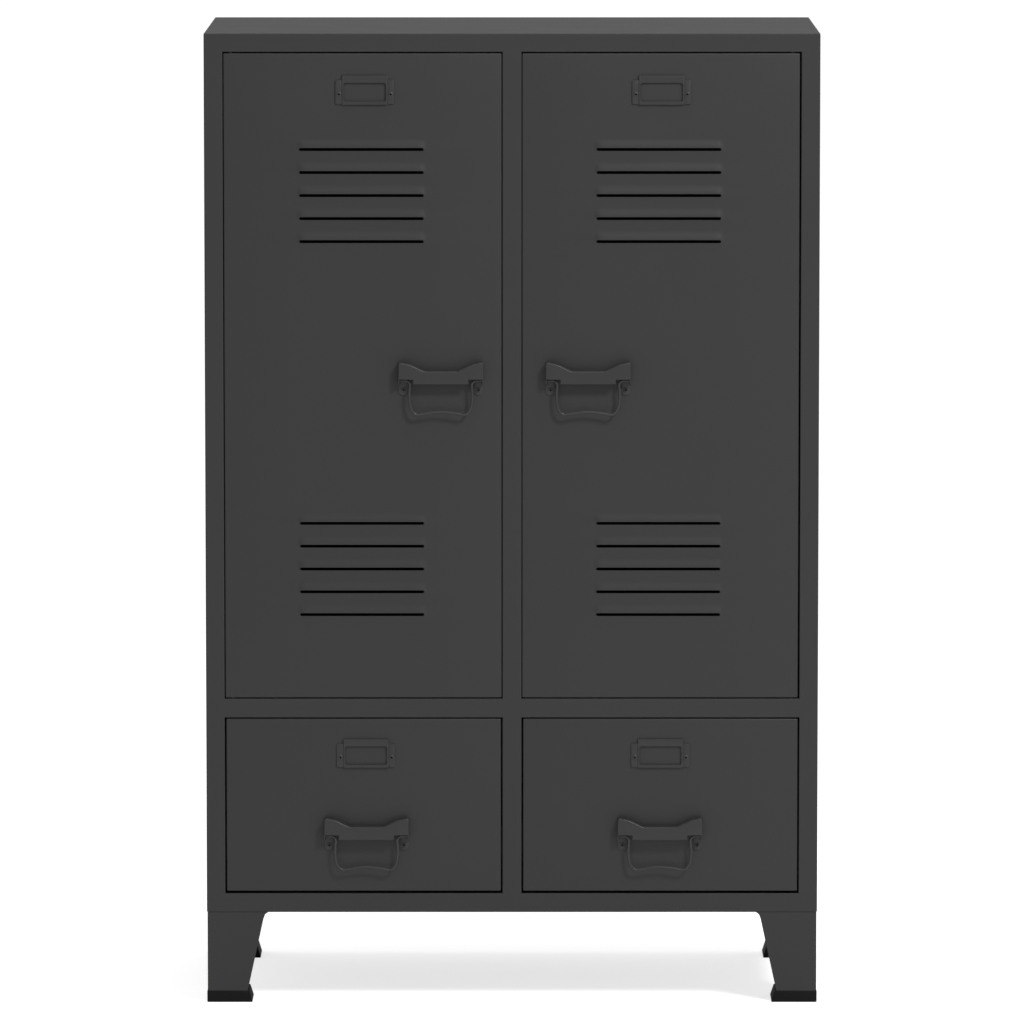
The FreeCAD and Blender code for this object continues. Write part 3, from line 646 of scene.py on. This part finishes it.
@dataclass
class DropHandle:
    """Pressed bracket with a waved wire bail hanging in it."""

    seat: Seat
    half_width: float = 46.5 * MM
    end_height: float = 19 * MM
    dip: float = 10 * MM
    knee: float = 33.8 * MM
    flat: float = 18 * MM
    proud: float = 13 * MM
    wall: float = 1.2 * MM
    press_radius: float = 1.5 * MM
    burr: float = 0.3 * MM
    tab: float = 30 * MM
    tab_drop: float = 5 * MM
    spare: float = 10 * MM
    lobe_inner: float = 35.5 * MM
    lobe_depth: float = 18 * MM
    lobe_corner: float = 4.8 * MM
    pivot_out: float = 8.5 * MM
    pivot_drop: float = 1.6 * MM
    lug_reach: float = 2.9 * MM
    lug_depth: float = 6 * MM
    lug_rise: float = 0.4 * MM
    lug_corner: float = 2.6 * MM
    lug_inset: float = 0.06 * MM
    wire: float = 1.45 * MM
    wire_play: float = 0.05 * MM
    wire_bend: float = 1.0
    pin_end: float = 46.4 * MM
    bail_half: float = 33.5 * MM
    bail_bend: float = 3 * MM
    bail_drop: float = 38 * MM
    bail_corner: float = 6 * MM
    bail_bow: float = 1.2 * MM
    bail_nip: float = 0.6 * MM
    bail_wave: float = 4.3 * MM
    wave_place: float = 0.42
    wave_share: float = 0.62

    def top_run(self, grow: float) -> list[tuple[float, float]]:
        """Draw the bracket's top edge: high ends, sloped shoulders and a flat middle.

        Args:
            grow: How far the ends and their tops move outwards.

        Returns:
            The corners from right to left.
        """
        x, z = self.seat.x, self.seat.z
        half, top = self.half_width + grow, z + self.end_height + grow
        shoulder = top - self.dip / 4
        return [(x + half, top), (x + self.knee, shoulder), (x + self.flat, top - self.dip),
                (x - self.flat, top - self.dip), (x - self.knee, shoulder), (x - half, top)]

    def shell(self, work: Metalwork) -> None:
        """Press the front plate, ends and top from one sheet, open below.

        Args:
            work: The drawing that receives it.
        """
        x, y, z = self.seat.x, self.seat.y, self.seat.z
        corners = [(x - self.half_width, z - self.spare), (x + self.half_width, z - self.spare),
                   *self.top_run(0.0)]
        radii = [0.0, 0.0, 2.4 * MM, 16 * MM, 9 * MM, 9 * MM, 16 * MM, 2.4 * MM]
        rim = work.outline(rounded(corners, radii, steps=5), y - self.proud)
        work.fill(rim)
        work.fold(rim, self.proud - self.wall * 0.9)
        work.soften(rim, self.press_radius, 5)
        work.trim((x, y, z - self.tab_drop), (0.0, 0.0, -1.0))
        for place, normal in (((x, y, z), (0.0, 0.0, 1.0)), ((x - self.tab, y, z), (1.0, 0.0, 0.0)),
                              ((x + self.tab, y, z), (1.0, 0.0, 0.0))):
            work.score(place, normal)
        notched = [face for face in work.draft.faces if face.calc_center_median().z < z
                   and abs(face.calc_center_median().x - x) > self.tab]
        bmesh.ops.delete(work.draft, geom=notched, context="FACES")
        work.gauge(self.wall)

    def back_plate(self, work: Metalwork) -> None:
        """Cut the flat plate with its two riveted lobes.

        Args:
            work: The drawing that receives it.
        """
        x, z = self.seat.x, self.seat.z
        half, inner, tab = self.half_width, self.lobe_inner, self.tab
        low, foot = z - self.lobe_depth, z - self.tab_drop
        lower = [(x - half, low), (x - inner, low), (x - inner, z), (x - tab, z), (x - tab, foot),
                 (x + tab, foot), (x + tab, z), (x + inner, z), (x + inner, low), (x + half, low)]
        left = [self.lobe_corner, self.lobe_corner, 1 * MM, 0.6 * MM, 1 * MM]
        upper = self.top_run(-0.3 * MM)
        points = rounded([*lower, *upper], [*left, *left[::-1], *[0.4 * MM] * len(upper)], steps=5)
        front = self.seat.y - self.wall
        work.slab(work.fill(work.outline(points, front)), self.wall)
        work.soften(work.sharp_edges(FRONT_EDGE, front + HAIR), self.burr, 2)

    def lugs(self, work: Metalwork) -> None:
        """Cut the two drilled ears that carry the wire's pins.

        Args:
            work: The drawing that receives them.
        """
        draft, seat = work.draft, self.seat
        pivot = Vector((seat.y - self.pivot_out, seat.z - self.pivot_drop))
        low, high = seat.z - self.lug_depth, seat.z + self.lug_rise
        back, nose = seat.y - self.wall / 2, pivot.x - self.lug_reach
        outer = rounded([(back, low), (nose, low), (nose, high), (back, high)],
                        [0.0, self.lug_corner, 0.0, 0.0], steps=6)
        turns = (2 * math.pi * step / 20 for step in range(20))
        hole = [pivot + Vector((math.cos(turn), math.sin(turn))) * (self.wire + self.wire_play)
                for turn in turns]
        for sign in (-1, 1):
            x = seat.x + sign * (self.half_width - self.lug_inset)
            loops = []
            for run in (outer, hole):
                corners = [draft.verts.new((x, point.x, point.y)) for point in run]
                loops += [draft.edges.new(pair) for pair in zip(corners, corners[1:] + corners[:1])]
            made = bmesh.ops.triangle_fill(draft, edges=loops, use_beauty=True)["geom"]
            faces = [item for item in made if isinstance(item, bmesh.types.BMFace)]
            grown = bmesh.ops.extrude_face_region(draft, geom=faces, use_keep_orig=True)["geom"]
            verts = [item for item in grown if isinstance(item, bmesh.types.BMVert)]
            bmesh.ops.translate(draft, verts=verts,
                                vec=(-sign * (self.wall - 2 * self.lug_inset), 0.0, 0.0))

    def bail_points(self) -> list[Point]:
        """Draw the wire's centre line: out-turned pins, bowed arms and a waved grip.

        Returns:
            The corners from right to left.
        """
        pivot, arm, corner = self.seat.z - self.pivot_drop, self.bail_half, self.bail_corner
        base = pivot - self.bail_drop
        half = [(self.pin_end, pivot), (arm + self.bail_bend, pivot), (arm, pivot - self.bail_bend),
                (arm + self.bail_bow, (pivot + base) / 2 + self.wire),
                (arm - self.bail_nip, base + corner + self.wire), (arm - corner, base),
                (arm * self.wave_place, base + self.bail_wave * self.wave_share),
                (0.0, base + self.bail_wave)]
        y = self.seat.y - self.pivot_out
        run = half + [(-x, z) for x, z in reversed(half[:-1])]
        return [(self.seat.x + x, y, z) for x, z in run]

    def build(self, shop: PaintShop) -> list[bpy.types.Object]:
        """Make the bracket and the bail.

        Args:
            shop: The finishes.

        Returns:
            The two pieces.
        """
        name = self.seat.body
        work = Metalwork()
        self.shell(work)
        plate = Metalwork()
        self.back_plate(plate)
        self.lugs(plate)
        merge(plate, work)
        bmesh.ops.recalc_face_normals(work.draft, faces=work.draft.faces[:])
        bracket = work.deliver(f"{name}_pressed_bracket", shop.fitting, name,
                               [f"{name}_handle_bracket"])
        path = rounded(self.bail_points(), self.wire_bend, steps=10, closed=False)
        bail = fix_piece(f"{name}_wire_bail", wire_mesh(path, self.wire), shop.wire, f"{name}_bail",
                         [f"{name}_bail"], smooth=60.0)
        return [bracket, bail]


def merge(source: Metalwork, target: Metalwork) -> None:
    """Move everything drawn in one draft into another.

    Args:
        source: The drawing that is emptied and freed.
        target: The drawing that receives it.
    """
    mesh = bpy.data.meshes.new("merge")
    source.draft.to_mesh(mesh)
    source.draft.free()
    target.draft.from_mesh(mesh)
    bpy.data.meshes.remove(mesh)


def wire_mesh(path: Sequence[Vector], radius: float) -> bpy.types.Mesh:
    """Sweep a round wire along a path.

    Args:
        path: The centre line's points.
        radius: The wire's radius.

    Returns:
        The closed mesh.
    """
    curve = bpy.data.curves.new("wire_path", "CURVE")
    curve.dimensions = "3D"
    curve.bevel_depth = radius
    curve.bevel_resolution = 5
    curve.use_fill_caps = True
    run = curve.splines.new("POLY")
    run.points.add(len(path) - 1)
    for target, place in zip(run.points, path):
        target.co = (*place, 1.0)
    holder = bpy.data.objects.new("wire_path", curve)
    mesh = bpy.data.meshes.new_from_object(holder)
    bpy.data.objects.remove(holder)
    bpy.data.curves.remove(curve)
    return mesh


@dataclass
class LabelFrame:
    """Stamped card frame: riveted ears beside a raised window."""

    seat: Seat
    half_width: float = 32 * MM
    height: float = 26 * MM
    core: float = 25 * MM
    core_foot: float = 1 * MM
    core_top: float = 31 * MM
    core_corner: float = 1.6 * MM
    spare: float = 4 * MM
    fold_radius: float = 1.0 * MM
    window_half: float = 23 * MM
    window_foot: float = 2.75 * MM
    window_height: float = 20.5 * MM
    window_corner: float = 2.5 * MM
    lift: float = 2.4 * MM
    sheet: float = 0.8 * MM
    burr: float = 0.16 * MM
    ear_rise: float = 1.6 * MM
    ear_corner: float = 1.8 * MM
    ear_edge: float = 0.3 * MM

    def window(self, work: Metalwork) -> None:
        """Stamp the raised frame around the card.

        Args:
            work: The drawing that receives it.
        """
        x, z = self.seat.x, self.seat.z
        raised = self.seat.y - self.lift
        low, high = z - self.core_foot, z + self.core_top
        foot = z + self.window_foot
        rim = rounded_rectangle(x, self.core, low, high + self.spare, self.core_corner)
        opening = rounded_rectangle(x, self.window_half, foot, foot + self.window_height, self.window_corner)
        outer = work.outline(rim, raised)
        work.ring(outer, work.outline(opening, raised))
        work.fold(outer, self.lift)
        work.soften(outer, self.fold_radius, 4)
        work.trim((x, raised, high), (0.0, 0.0, 1.0))
        work.gauge(self.sheet)
        work.soften(work.sharp_edges(FRONT_EDGE, self.seat.y - 0.2 * MM), self.burr, 2)

    def ears(self, work: Metalwork) -> None:
        """Cut the two riveted ears.

        Args:
            work: The drawing that receives them.
        """
        x, z = self.seat.x, self.seat.z
        face = self.seat.y - self.ear_rise
        for sign in (-1, 1):
            near, far = x + sign * (self.core - self.sheet / 2), x + sign * self.half_width
            points = rounded([(near, z), (far, z), (far, z + self.height), (near, z + self.height)],
                             [0.0, self.ear_corner, self.ear_corner, 0.0])
            work.slab(work.fill(work.outline(points, face)), self.ear_rise)
        work.soften(work.sharp_edges(FRONT_EDGE, face + HAIR), self.ear_edge, 2)

    def build(self, shop: PaintShop) -> bpy.types.Object:
        """Make the frame.

        Args:
            shop: The finishes.

        Returns:
            The frame.
        """
        work = Metalwork()
        self.window(work)
        ears = Metalwork()
        self.ears(ears)
        merge(ears, work)
        bmesh.ops.recalc_face_normals(work.draft, faces=work.draft.faces[:])
        name = self.seat.body
        return work.deliver(f"{name}_stamped_label_frame", shop.fitting, name,
                            [f"{name}_label_holder"])


@dataclass
class RivetSet:
    """Domed blind rivets with an open eye."""

    seat: Seat
    places: list[Point]
    radius: float = 2.8 * MM
    height: float = 0.6 * MM
    eye: float = 1.0 * MM
    eye_depth: float = 0.7 * MM
    steps: int = 28

    def profile(self) -> list[tuple[float, float]]:
        """Draw half a rivet: rim, dome, the eye's rolled lip and its floor.

        Returns:
            Each point's distance from the axis and its Y from the seat.
        """
        return [(self.radius, 0.0), (self.radius, -0.15 * MM), (self.radius * 0.9, -0.38 * MM),
                (self.radius * 0.68, -self.height * 0.93), (self.radius * 0.5, -self.height),
                (self.eye + 0.15 * MM, -self.height), (self.eye, -0.48 * MM), (self.eye, self.eye_depth),
                (0.0, self.eye_depth)]

    def build(self, shop: PaintShop) -> bpy.types.Object:
        """Spin each rivet's profile about its own axis.

        Args:
            shop: The finishes.

        Returns:
            The rivets, as one piece.
        """
        work = Metalwork()
        for x, y, z in self.places:
            corners = [work.draft.verts.new((x + out, y + back, z)) for out, back in self.profile()]
            edges = [work.draft.edges.new(pair) for pair in zip(corners, corners[1:])]
            bmesh.ops.spin(work.draft, geom=[*corners, *edges], cent=(x, y, z), axis=(0.0, 1.0, 0.0),
                           angle=2 * math.pi, steps=self.steps, use_merge=True)
        bmesh.ops.remove_doubles(work.draft, verts=work.draft.verts[:], dist=HAIR)
        rims = [edge for edge in work.draft.edges if edge.is_boundary]
        bmesh.ops.holes_fill(work.draft, edges=rims, sides=0)
        bmesh.ops.recalc_face_normals(work.draft, faces=work.draft.faces[:])
        name = self.seat.body
        return work.deliver(f"{name}_domed_rivets", shop.fitting, name, [f"{name}_rivets"],
                            smooth=40.0)


# ------------------------------------------------------------------ folded fronts


@dataclass(frozen=True)
class Louvres:
    """Two banks of pressed louvres on a door."""

    middle: float
    slot_centres: tuple[float, ...]
    half_length: float = 67.75 * MM
    half_slot: float = 1.65 * MM
    hood: float = 11 * MM
    rise: float = 1.8 * MM
    end: float = 4 * MM
    end_gap: float = 0.12 * MM
    foot_line: float = 3.2 * MM
    lip_lines: tuple[float, ...] = (0.35 * MM, 0.9 * MM)
    hood_shares: tuple[float, ...] = (0.16, 0.26, 0.38, 0.5, 0.62, 0.74, 0.86, 1.0)
    lines_past_end: tuple[float, ...] = (2.6 * MM, 1.3 * MM, 0.5 * MM)
    lines_before_end: tuple[float, ...] = (0.25 * MM, 0.8 * MM, 1.65 * MM, 4 * MM, 8 * MM, 20 * MM, 34 * MM,
                                           48 * MM)

    def columns(self) -> list[float]:
        """Place the sheet's upright lines, closer together at the slots' ends.

        Returns:
            The X of each line.
        """
        half = self.half_length
        half_row = [half + self.end, *(half + reach for reach in self.lines_past_end), half,
                    *(half - reach for reach in self.lines_before_end)]
        offsets = [-reach for reach in half_row] + [0.0] + half_row[::-1]
        return [self.middle + offset for offset in offsets]

    def rows(self) -> list[float]:
        """Place the sheet's level lines around every slot.

        Returns:
            The Z of each line.
        """
        lip = self.half_slot
        steps = [-self.foot_line, -lip, lip, *(lip + reach for reach in self.lip_lines),
                 *(lip + self.hood * share for share in self.hood_shares)]
        return [centre + step for centre in self.slot_centres for step in steps]

    def press(self, draft: bmesh.types.BMesh) -> None:
        """Shear the slots open and press the hoods forward.

        Args:
            draft: The sheet, with a line on every column and row.
        """
        gone = [face for face in draft.faces if self.in_slot(face.calc_center_median())]
        bmesh.ops.delete(draft, geom=gone, context="FACES")
        for vert in draft.verts:
            self.shape(vert)

    def in_slot(self, place: Vector) -> bool:
        """Whether a point of the sheet lies in a slot."""
        return abs(place.x - self.middle) < self.half_length and any(
            abs(place.z - centre) < self.half_slot for centre in self.slot_centres)

    def shape(self, vert: bmesh.types.BMVert) -> None:
        """Move one point of the sheet to its pressed place.

        Args:
            vert: The point.
        """
        centre = min(self.slot_centres, key=lambda z: abs(vert.co.z - z - self.hood / 2))
        above = vert.co.z - centre - self.half_slot
        inside = self.half_length - abs(vert.co.x - self.middle)
        if -HAIR < above < self.hood and inside > -self.end:
            side = ease((inside + self.end) / (self.end * 2))
            vert.co.y -= self.rise * side * (1 - ease(above / self.hood))
        on_rim = abs(abs(vert.co.z - centre) - self.half_slot) < HAIR
        if on_rim and -HAIR < inside < self.half_slot:
            gap = self.half_slot - max(inside, 0.0)
            half_gap = max(math.sqrt(max(self.half_slot ** 2 - gap ** 2, 0.0)), self.end_gap)
            vert.co.z = centre + math.copysign(half_gap, vert.co.z - centre)


def front_node(side: Side, front: Front) -> str:
    """The name of a front's CAD node."""
    return f"{side.value}_door" if front is Front.DOOR else f"{side.value}_drawer_front"


@dataclass
class FoldedFront:
    """A door or drawer front: one sheet with rounded edges, four returns and an inner lip."""

    side: Side
    front: Front
    low: Vector
    high: Vector
    louvres: Louvres | None = None
    sheet: float = 1 * MM
    edge: float = 1.5 * MM
    lip: float = 14 * MM
    lip_bend: float = 1.2 * MM
    lip_near: float = 2 * MM
    corner_share: float = 0.3
    return_least: float = 5 * MM

    def flat_sheet(self, work: Metalwork, face_y: float) -> None:
        """Lay out the sheet as a grid with uneven lines.

        Args:
            work: The drawing that receives it.
            face_y: The front face's Y.
        """
        columns, rows = [self.low.x, self.high.x], [self.low.z, self.high.z]
        if self.louvres:
            columns[1:1] = sorted(self.louvres.columns())
            rows[1:1] = sorted(self.louvres.rows())
        across, up = len(columns) - 1, len(rows) - 1
        bmesh.ops.create_grid(work.draft, x_segments=across, y_segments=up, size=1.0)
        for vert in work.draft.verts:
            column = round((vert.co.x + 1) / 2 * across)
            row = round((vert.co.y + 1) / 2 * up)
            vert.co = (columns[column], face_y, rows[row])
        work.face_front(work.draft.faces[:])

    def turned_in(self, place: Vector) -> Vector:
        """Find where a point of the returns' back rim goes when the lip is folded inwards.

        Args:
            place: The point.

        Returns:
            Its place on the lip's free edge.
        """
        moved = place.copy()
        for axis in (0, 2):
            for limit, sign in ((self.low[axis], 1), (self.high[axis], -1)):
                away = (place[axis] - limit) * sign
                if away < self.lip_near:
                    moved[axis] = limit + sign * (self.lip + away * self.corner_share)
        return moved

    def build(self, shop: PaintShop, face_y: float) -> bpy.types.Object:
        """Make the front.

        Args:
            shop: The finishes.
            face_y: The front face's Y.

        Returns:
            The front.
        """
        work = Metalwork()
        self.flat_sheet(work, face_y)
        border = [edge for edge in work.draft.edges if edge.is_boundary]
        work.fold(border, self.high.y - face_y)
        corners = [edge for edge in work.draft.edges
                   if abs(edge.verts[0].co.y - edge.verts[1].co.y) > self.return_least
                   and all(self.at_corner(vert.co) for vert in edge.verts)]
        work.soften([*border, *corners], self.edge, 5)
        rim = [edge for edge in work.draft.edges
               if edge.is_boundary and all(vert.co.y > self.high.y - HAIR for vert in edge.verts)]
        lip = bmesh.ops.extrude_edge_only(work.draft, edges=rim)["geom"]
        for item in lip:
            if isinstance(item, bmesh.types.BMVert):
                item.co = self.turned_in(item.co)
        work.soften([edge for edge in rim if edge.is_valid], self.lip_bend, 3)
        if self.louvres:
            self.louvres.press(work.draft)
        work.gauge(self.sheet)
        return work.deliver(f"{self.node}_sheet", shop.skin, f"{self.side.value}_{self.front.value}",
                            [self.node])

    @property
    def node(self) -> str:
        """The CAD node that the front stands for."""
        return front_node(self.side, self.front)

    def at_corner(self, place: Vector) -> bool:
        """Whether a point lies on one of the four corner edges."""
        return all(min(abs(place[axis] - self.low[axis]), abs(place[axis] - self.high[axis])) < HAIR
                   for axis in (0, 2))


# ------------------------------------------------------------------ glides


@dataclass
class Glide:
    """A moulded foot, flared towards the floor."""

    node: str
    taper: float = 4 * MM
    edge: float = 1.1 * MM

    def build(self, shop: PaintShop) -> bpy.types.Object:
        """Make the foot.

        Args:
            shop: The finishes.

        Returns:
            The foot.
        """
        low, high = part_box(self.node)
        work = Metalwork()
        work.block(tuple(low), tuple(high))
        outward = Vector((math.copysign(1, low.x + high.x), math.copysign(1, low.y + high.y), 0))
        for vert in work.draft.verts:
            if vert.co.z > high.z - HAIR:
                for axis in (0, 1):
                    if (vert.co[axis] - (low[axis] + high[axis]) / 2) * outward[axis] < 0:
                        vert.co[axis] += outward[axis] * self.taper
        work.soften(work.draft.edges[:], self.edge, 4)
        return work.deliver(f"{self.node}_moulding", shop.glide, "cabinet", [self.node])


# ------------------------------------------------------------------ assembly


@dataclass
class Cabinet:
    """Every piece that is drawn in more detail than its CAD node.

    Places on a pair of fronts are given as left X, right X and Z.
    """

    shop: PaintShop
    face_y: float
    door_handles: Point = (-77.5 * MM, 83 * MM, 688.4 * MM)
    drawer_handles: Point = (-159.4 * MM, 162 * MM, 187.1 * MM)
    door_labels: Point = (-160 * MM, 162.5 * MM, 988 * MM)
    drawer_labels: Point = (-160 * MM, 162.5 * MM, 261 * MM)
    label_rivet_x: float = 28 * MM
    label_rivet_z: float = 10.5 * MM
    handle_rivet_x: float = 41 * MM
    handle_rivet_z: float = -12.5 * MM
    louvre_middles: tuple[float, float] = (-163.8 * MM, 159.8 * MM)
    bank_feet: tuple[float, float] = (429.3 * MM, 838.2 * MM)
    louvre_pitch: float = 25.1 * MM
    louvres_in_bank: int = 5

    def seats(self, doors: Point, drawers: Point) -> list[Seat]:
        """Place one fitting on each of the four fronts.

        Args:
            doors: The places on the doors.
            drawers: The places on the drawers.

        Returns:
            One seat for each front.
        """
        return [Seat(side, front, x, places[2], self.face_y)
                for front, places in ((Front.DOOR, doors), (Front.DRAWER, drawers))
                for side, x in zip(Side, places)]

    def rivet_places(self, handle: Seat, label: Seat) -> list[Point]:
        """Place the rivets of one front.

        Args:
            handle: The handle's seat.
            label: The label frame's seat.

        Returns:
            The middle of each rivet's seat, the label's first.
        """
        label_y, handle_y = self.face_y - LabelFrame.ear_rise, self.face_y - DropHandle.wall
        on_label = [(label.x + sign * self.label_rivet_x, label_y, label.z + self.label_rivet_z)
                    for sign in (-1, 1)]
        on_handle = [(handle.x + sign * self.handle_rivet_x, handle_y, handle.z + self.handle_rivet_z)
                     for sign in (-1, 1)]
        return on_label + on_handle

    def build_fittings(self) -> list[bpy.types.Object]:
        """Make the handles, label frames and rivets.

        Returns:
            The pieces.
        """
        made = []
        handles = self.seats(self.door_handles, self.drawer_handles)
        labels = self.seats(self.door_labels, self.drawer_labels)
        for handle, label in zip(handles, labels):
            made += DropHandle(handle).build(self.shop)
            made.append(LabelFrame(label).build(self.shop))
            made.append(RivetSet(label, self.rivet_places(handle, label)).build(self.shop))
        return made

    def build_fronts(self) -> list[bpy.types.Object]:
        """Make the louvred doors and the plain drawer fronts.

        Returns:
            The pieces.
        """
        centres = tuple(foot + self.louvre_pitch * count
                        for foot in self.bank_feet for count in range(self.louvres_in_bank))
        made = []
        for side, middle in zip(Side, self.louvre_middles):
            for front in Front:
                low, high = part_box(front_node(side, front))
                pressed = Louvres(middle, centres) if front is Front.DOOR else None
                made.append(FoldedFront(side, front, low, high, pressed).build(self.shop, self.face_y))
        return made

    def build_feet(self) -> list[bpy.types.Object]:
        """Make the four glides.

        Returns:
            The pieces.
        """
        return [Glide(f"{depth}_{side.value}_foot").build(self.shop)
                for depth in ("front", "back") for side in Side]

    def build(self) -> list[bpy.types.Object]:
        """Make everything.

        Returns:
            Every piece, in the order made.
        """
        return [*self.build_fronts(), *self.build_fittings(), *self.build_feet()]


# ------------------------------------------------------------------ studio


@dataclass
class Studio:
    """Pale floor, soft light and the camera."""

    distance: float = 9.0
    eye_height: float = 1.5276
    aim_height: float = 0.5421
    lens: float = 291.4
    far_clip: float = 200.0
    world_strength: float = 0.377
    lit_point: Point = (0.0, -0.1, 0.55)
    key_direction: Point = (0.435, -0.608, 0.664)
    key_distance: float = 4.5
    key_strength: float = 90.0
    key_size: float = 0.8
    top_place: Point = (0.0, 0.0, 3.4)
    top_target: Point = (0.0, 0.0, 1.0)
    top_size: float = 2.0
    top_strength: float = 22.6
    floor_half: float = 30.0
    floor_roughness: float = 0.9
    floor_gloss: float = 0.1
    floor_cloud: float = 0.4
    floor_shades: tuple[Point, Point] = ((0.93, 0.93, 0.93), (0.94, 0.94, 0.94))
    floor_glow: float = 0.7

    def lamp(self, name: str, place: Point, target: Point, size: float, strength: float) -> bpy.types.Object:
        """Hang a square soft light.

        Args:
            name: Its name.
            place: Where it hangs, in metres.
            target: The point that it faces.
            size: Side of the square in metres.
            strength: Power in watts.

        Returns:
            The light's object.
        """
        light = bpy.data.lights.new(name, "AREA")
        light.shape = "SQUARE"
        light.size = size
        light.energy = strength
        lamp = bpy.data.objects.new(name, light)
        lamp.location = place
        lamp.rotation_euler = (Vector(target) - Vector(place)).to_track_quat("-Z", "Y").to_euler()
        bpy.context.scene.collection.objects.link(lamp)
        return lamp

    def floor(self) -> bpy.types.Object:
        """Lay a wide pale floor.

        Returns:
            The floor's object.
        """
        drawing = bmesh.new()
        bmesh.ops.create_grid(drawing, x_segments=1, y_segments=1, size=self.floor_half)
        mesh = bpy.data.meshes.new("studio_floor")
        drawing.to_mesh(mesh)
        drawing.free()
        floor = bpy.data.objects.new("studio_floor", mesh)
        bpy.context.scene.collection.objects.link(floor)
        bench = NodeBench("pale_floor")
        bench.shader.inputs["Roughness"].default_value = self.floor_roughness
        bench.shader.inputs["Specular IOR Level"].default_value = self.floor_gloss
        cloud = bench.noise(self.floor_cloud, 2.0)
        bench.tint(cloud.outputs["Fac"], *self.floor_shades)
        bench.shader.inputs["Emission Color"].default_value = (1.0, 1.0, 1.0, 1.0)
        seen = bench.node("ShaderNodeLightPath")
        bench.join(bench.ramp(seen.outputs["Is Camera Ray"], 0.0, self.floor_glow),
                   bench.shader.inputs["Emission Strength"])
        mesh.materials.append(bench.material)
        return floor

    def light(self) -> None:
        """Light the cabinet from all round, from the upper right and from above."""
        scene = bpy.context.scene
        world = bpy.data.worlds.new("studio")
        world.use_nodes = True
        tree = world.node_tree
        soft = tree.nodes["Background"]
        soft.inputs["Color"].default_value = (1.0, 1.0, 1.0, 1.0)
        soft.inputs["Strength"].default_value = self.world_strength
        white = tree.nodes.new("ShaderNodeBackground")
        white.inputs["Color"].default_value = (1.0, 1.0, 1.0, 1.0)
        seen = tree.nodes.new("ShaderNodeLightPath")
        choice = tree.nodes.new("ShaderNodeMixShader")
        tree.links.new(seen.outputs["Is Camera Ray"], choice.inputs["Fac"])
        tree.links.new(soft.outputs["Background"], choice.inputs[1])
        tree.links.new(white.outputs["Background"], choice.inputs[2])
        tree.links.new(choice.outputs["Shader"], tree.nodes["World Output"].inputs["Surface"])
        scene.world = world
        scene.view_settings.view_transform = "Standard"
        key_place = Vector(self.lit_point) + Vector(self.key_direction) * self.key_distance
        self.lamp("key", tuple(key_place), self.lit_point, self.key_size, self.key_strength)
        self.lamp("overhead", self.top_place, self.top_target, self.top_size, self.top_strength)

    def camera(self, front: float) -> bpy.types.Object:
        """Stand the camera in front of the cabinet, a little above its top.

        Args:
            front: The Y of the cabinet's front face.

        Returns:
            The camera's object.
        """
        lens = bpy.data.cameras.new("camera")
        lens.lens = self.lens
        lens.sensor_width = 36.0
        lens.clip_end = self.far_clip
        camera = bpy.data.objects.new("camera", lens)
        camera.location = (0.0, front - self.distance, self.eye_height)
        aim = Vector((0.0, front, self.aim_height))
        camera.rotation_euler = (aim - camera.location).to_track_quat("-Z", "Y").to_euler()
        bpy.context.scene.collection.objects.link(camera)
        bpy.context.scene.camera = camera
        return camera


def main() -> None:
    """Build everything in order."""
    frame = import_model()
    shop = PaintShop()
    shop.dress(frame["nodes"])
    LOG.info("dressed %d nodes", len(frame["nodes"]))
    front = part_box("left_side_panel")[0].y
    for piece in Cabinet(shop, front).build():
        LOG.info("made %s with %d faces", piece.name, len(piece.data.polygons))
    studio = Studio()
    studio.floor()
    studio.light()
    studio.camera(front)
    LOG.info("set up the floor, lights and camera")


if __name__ == "__main__":
    main()
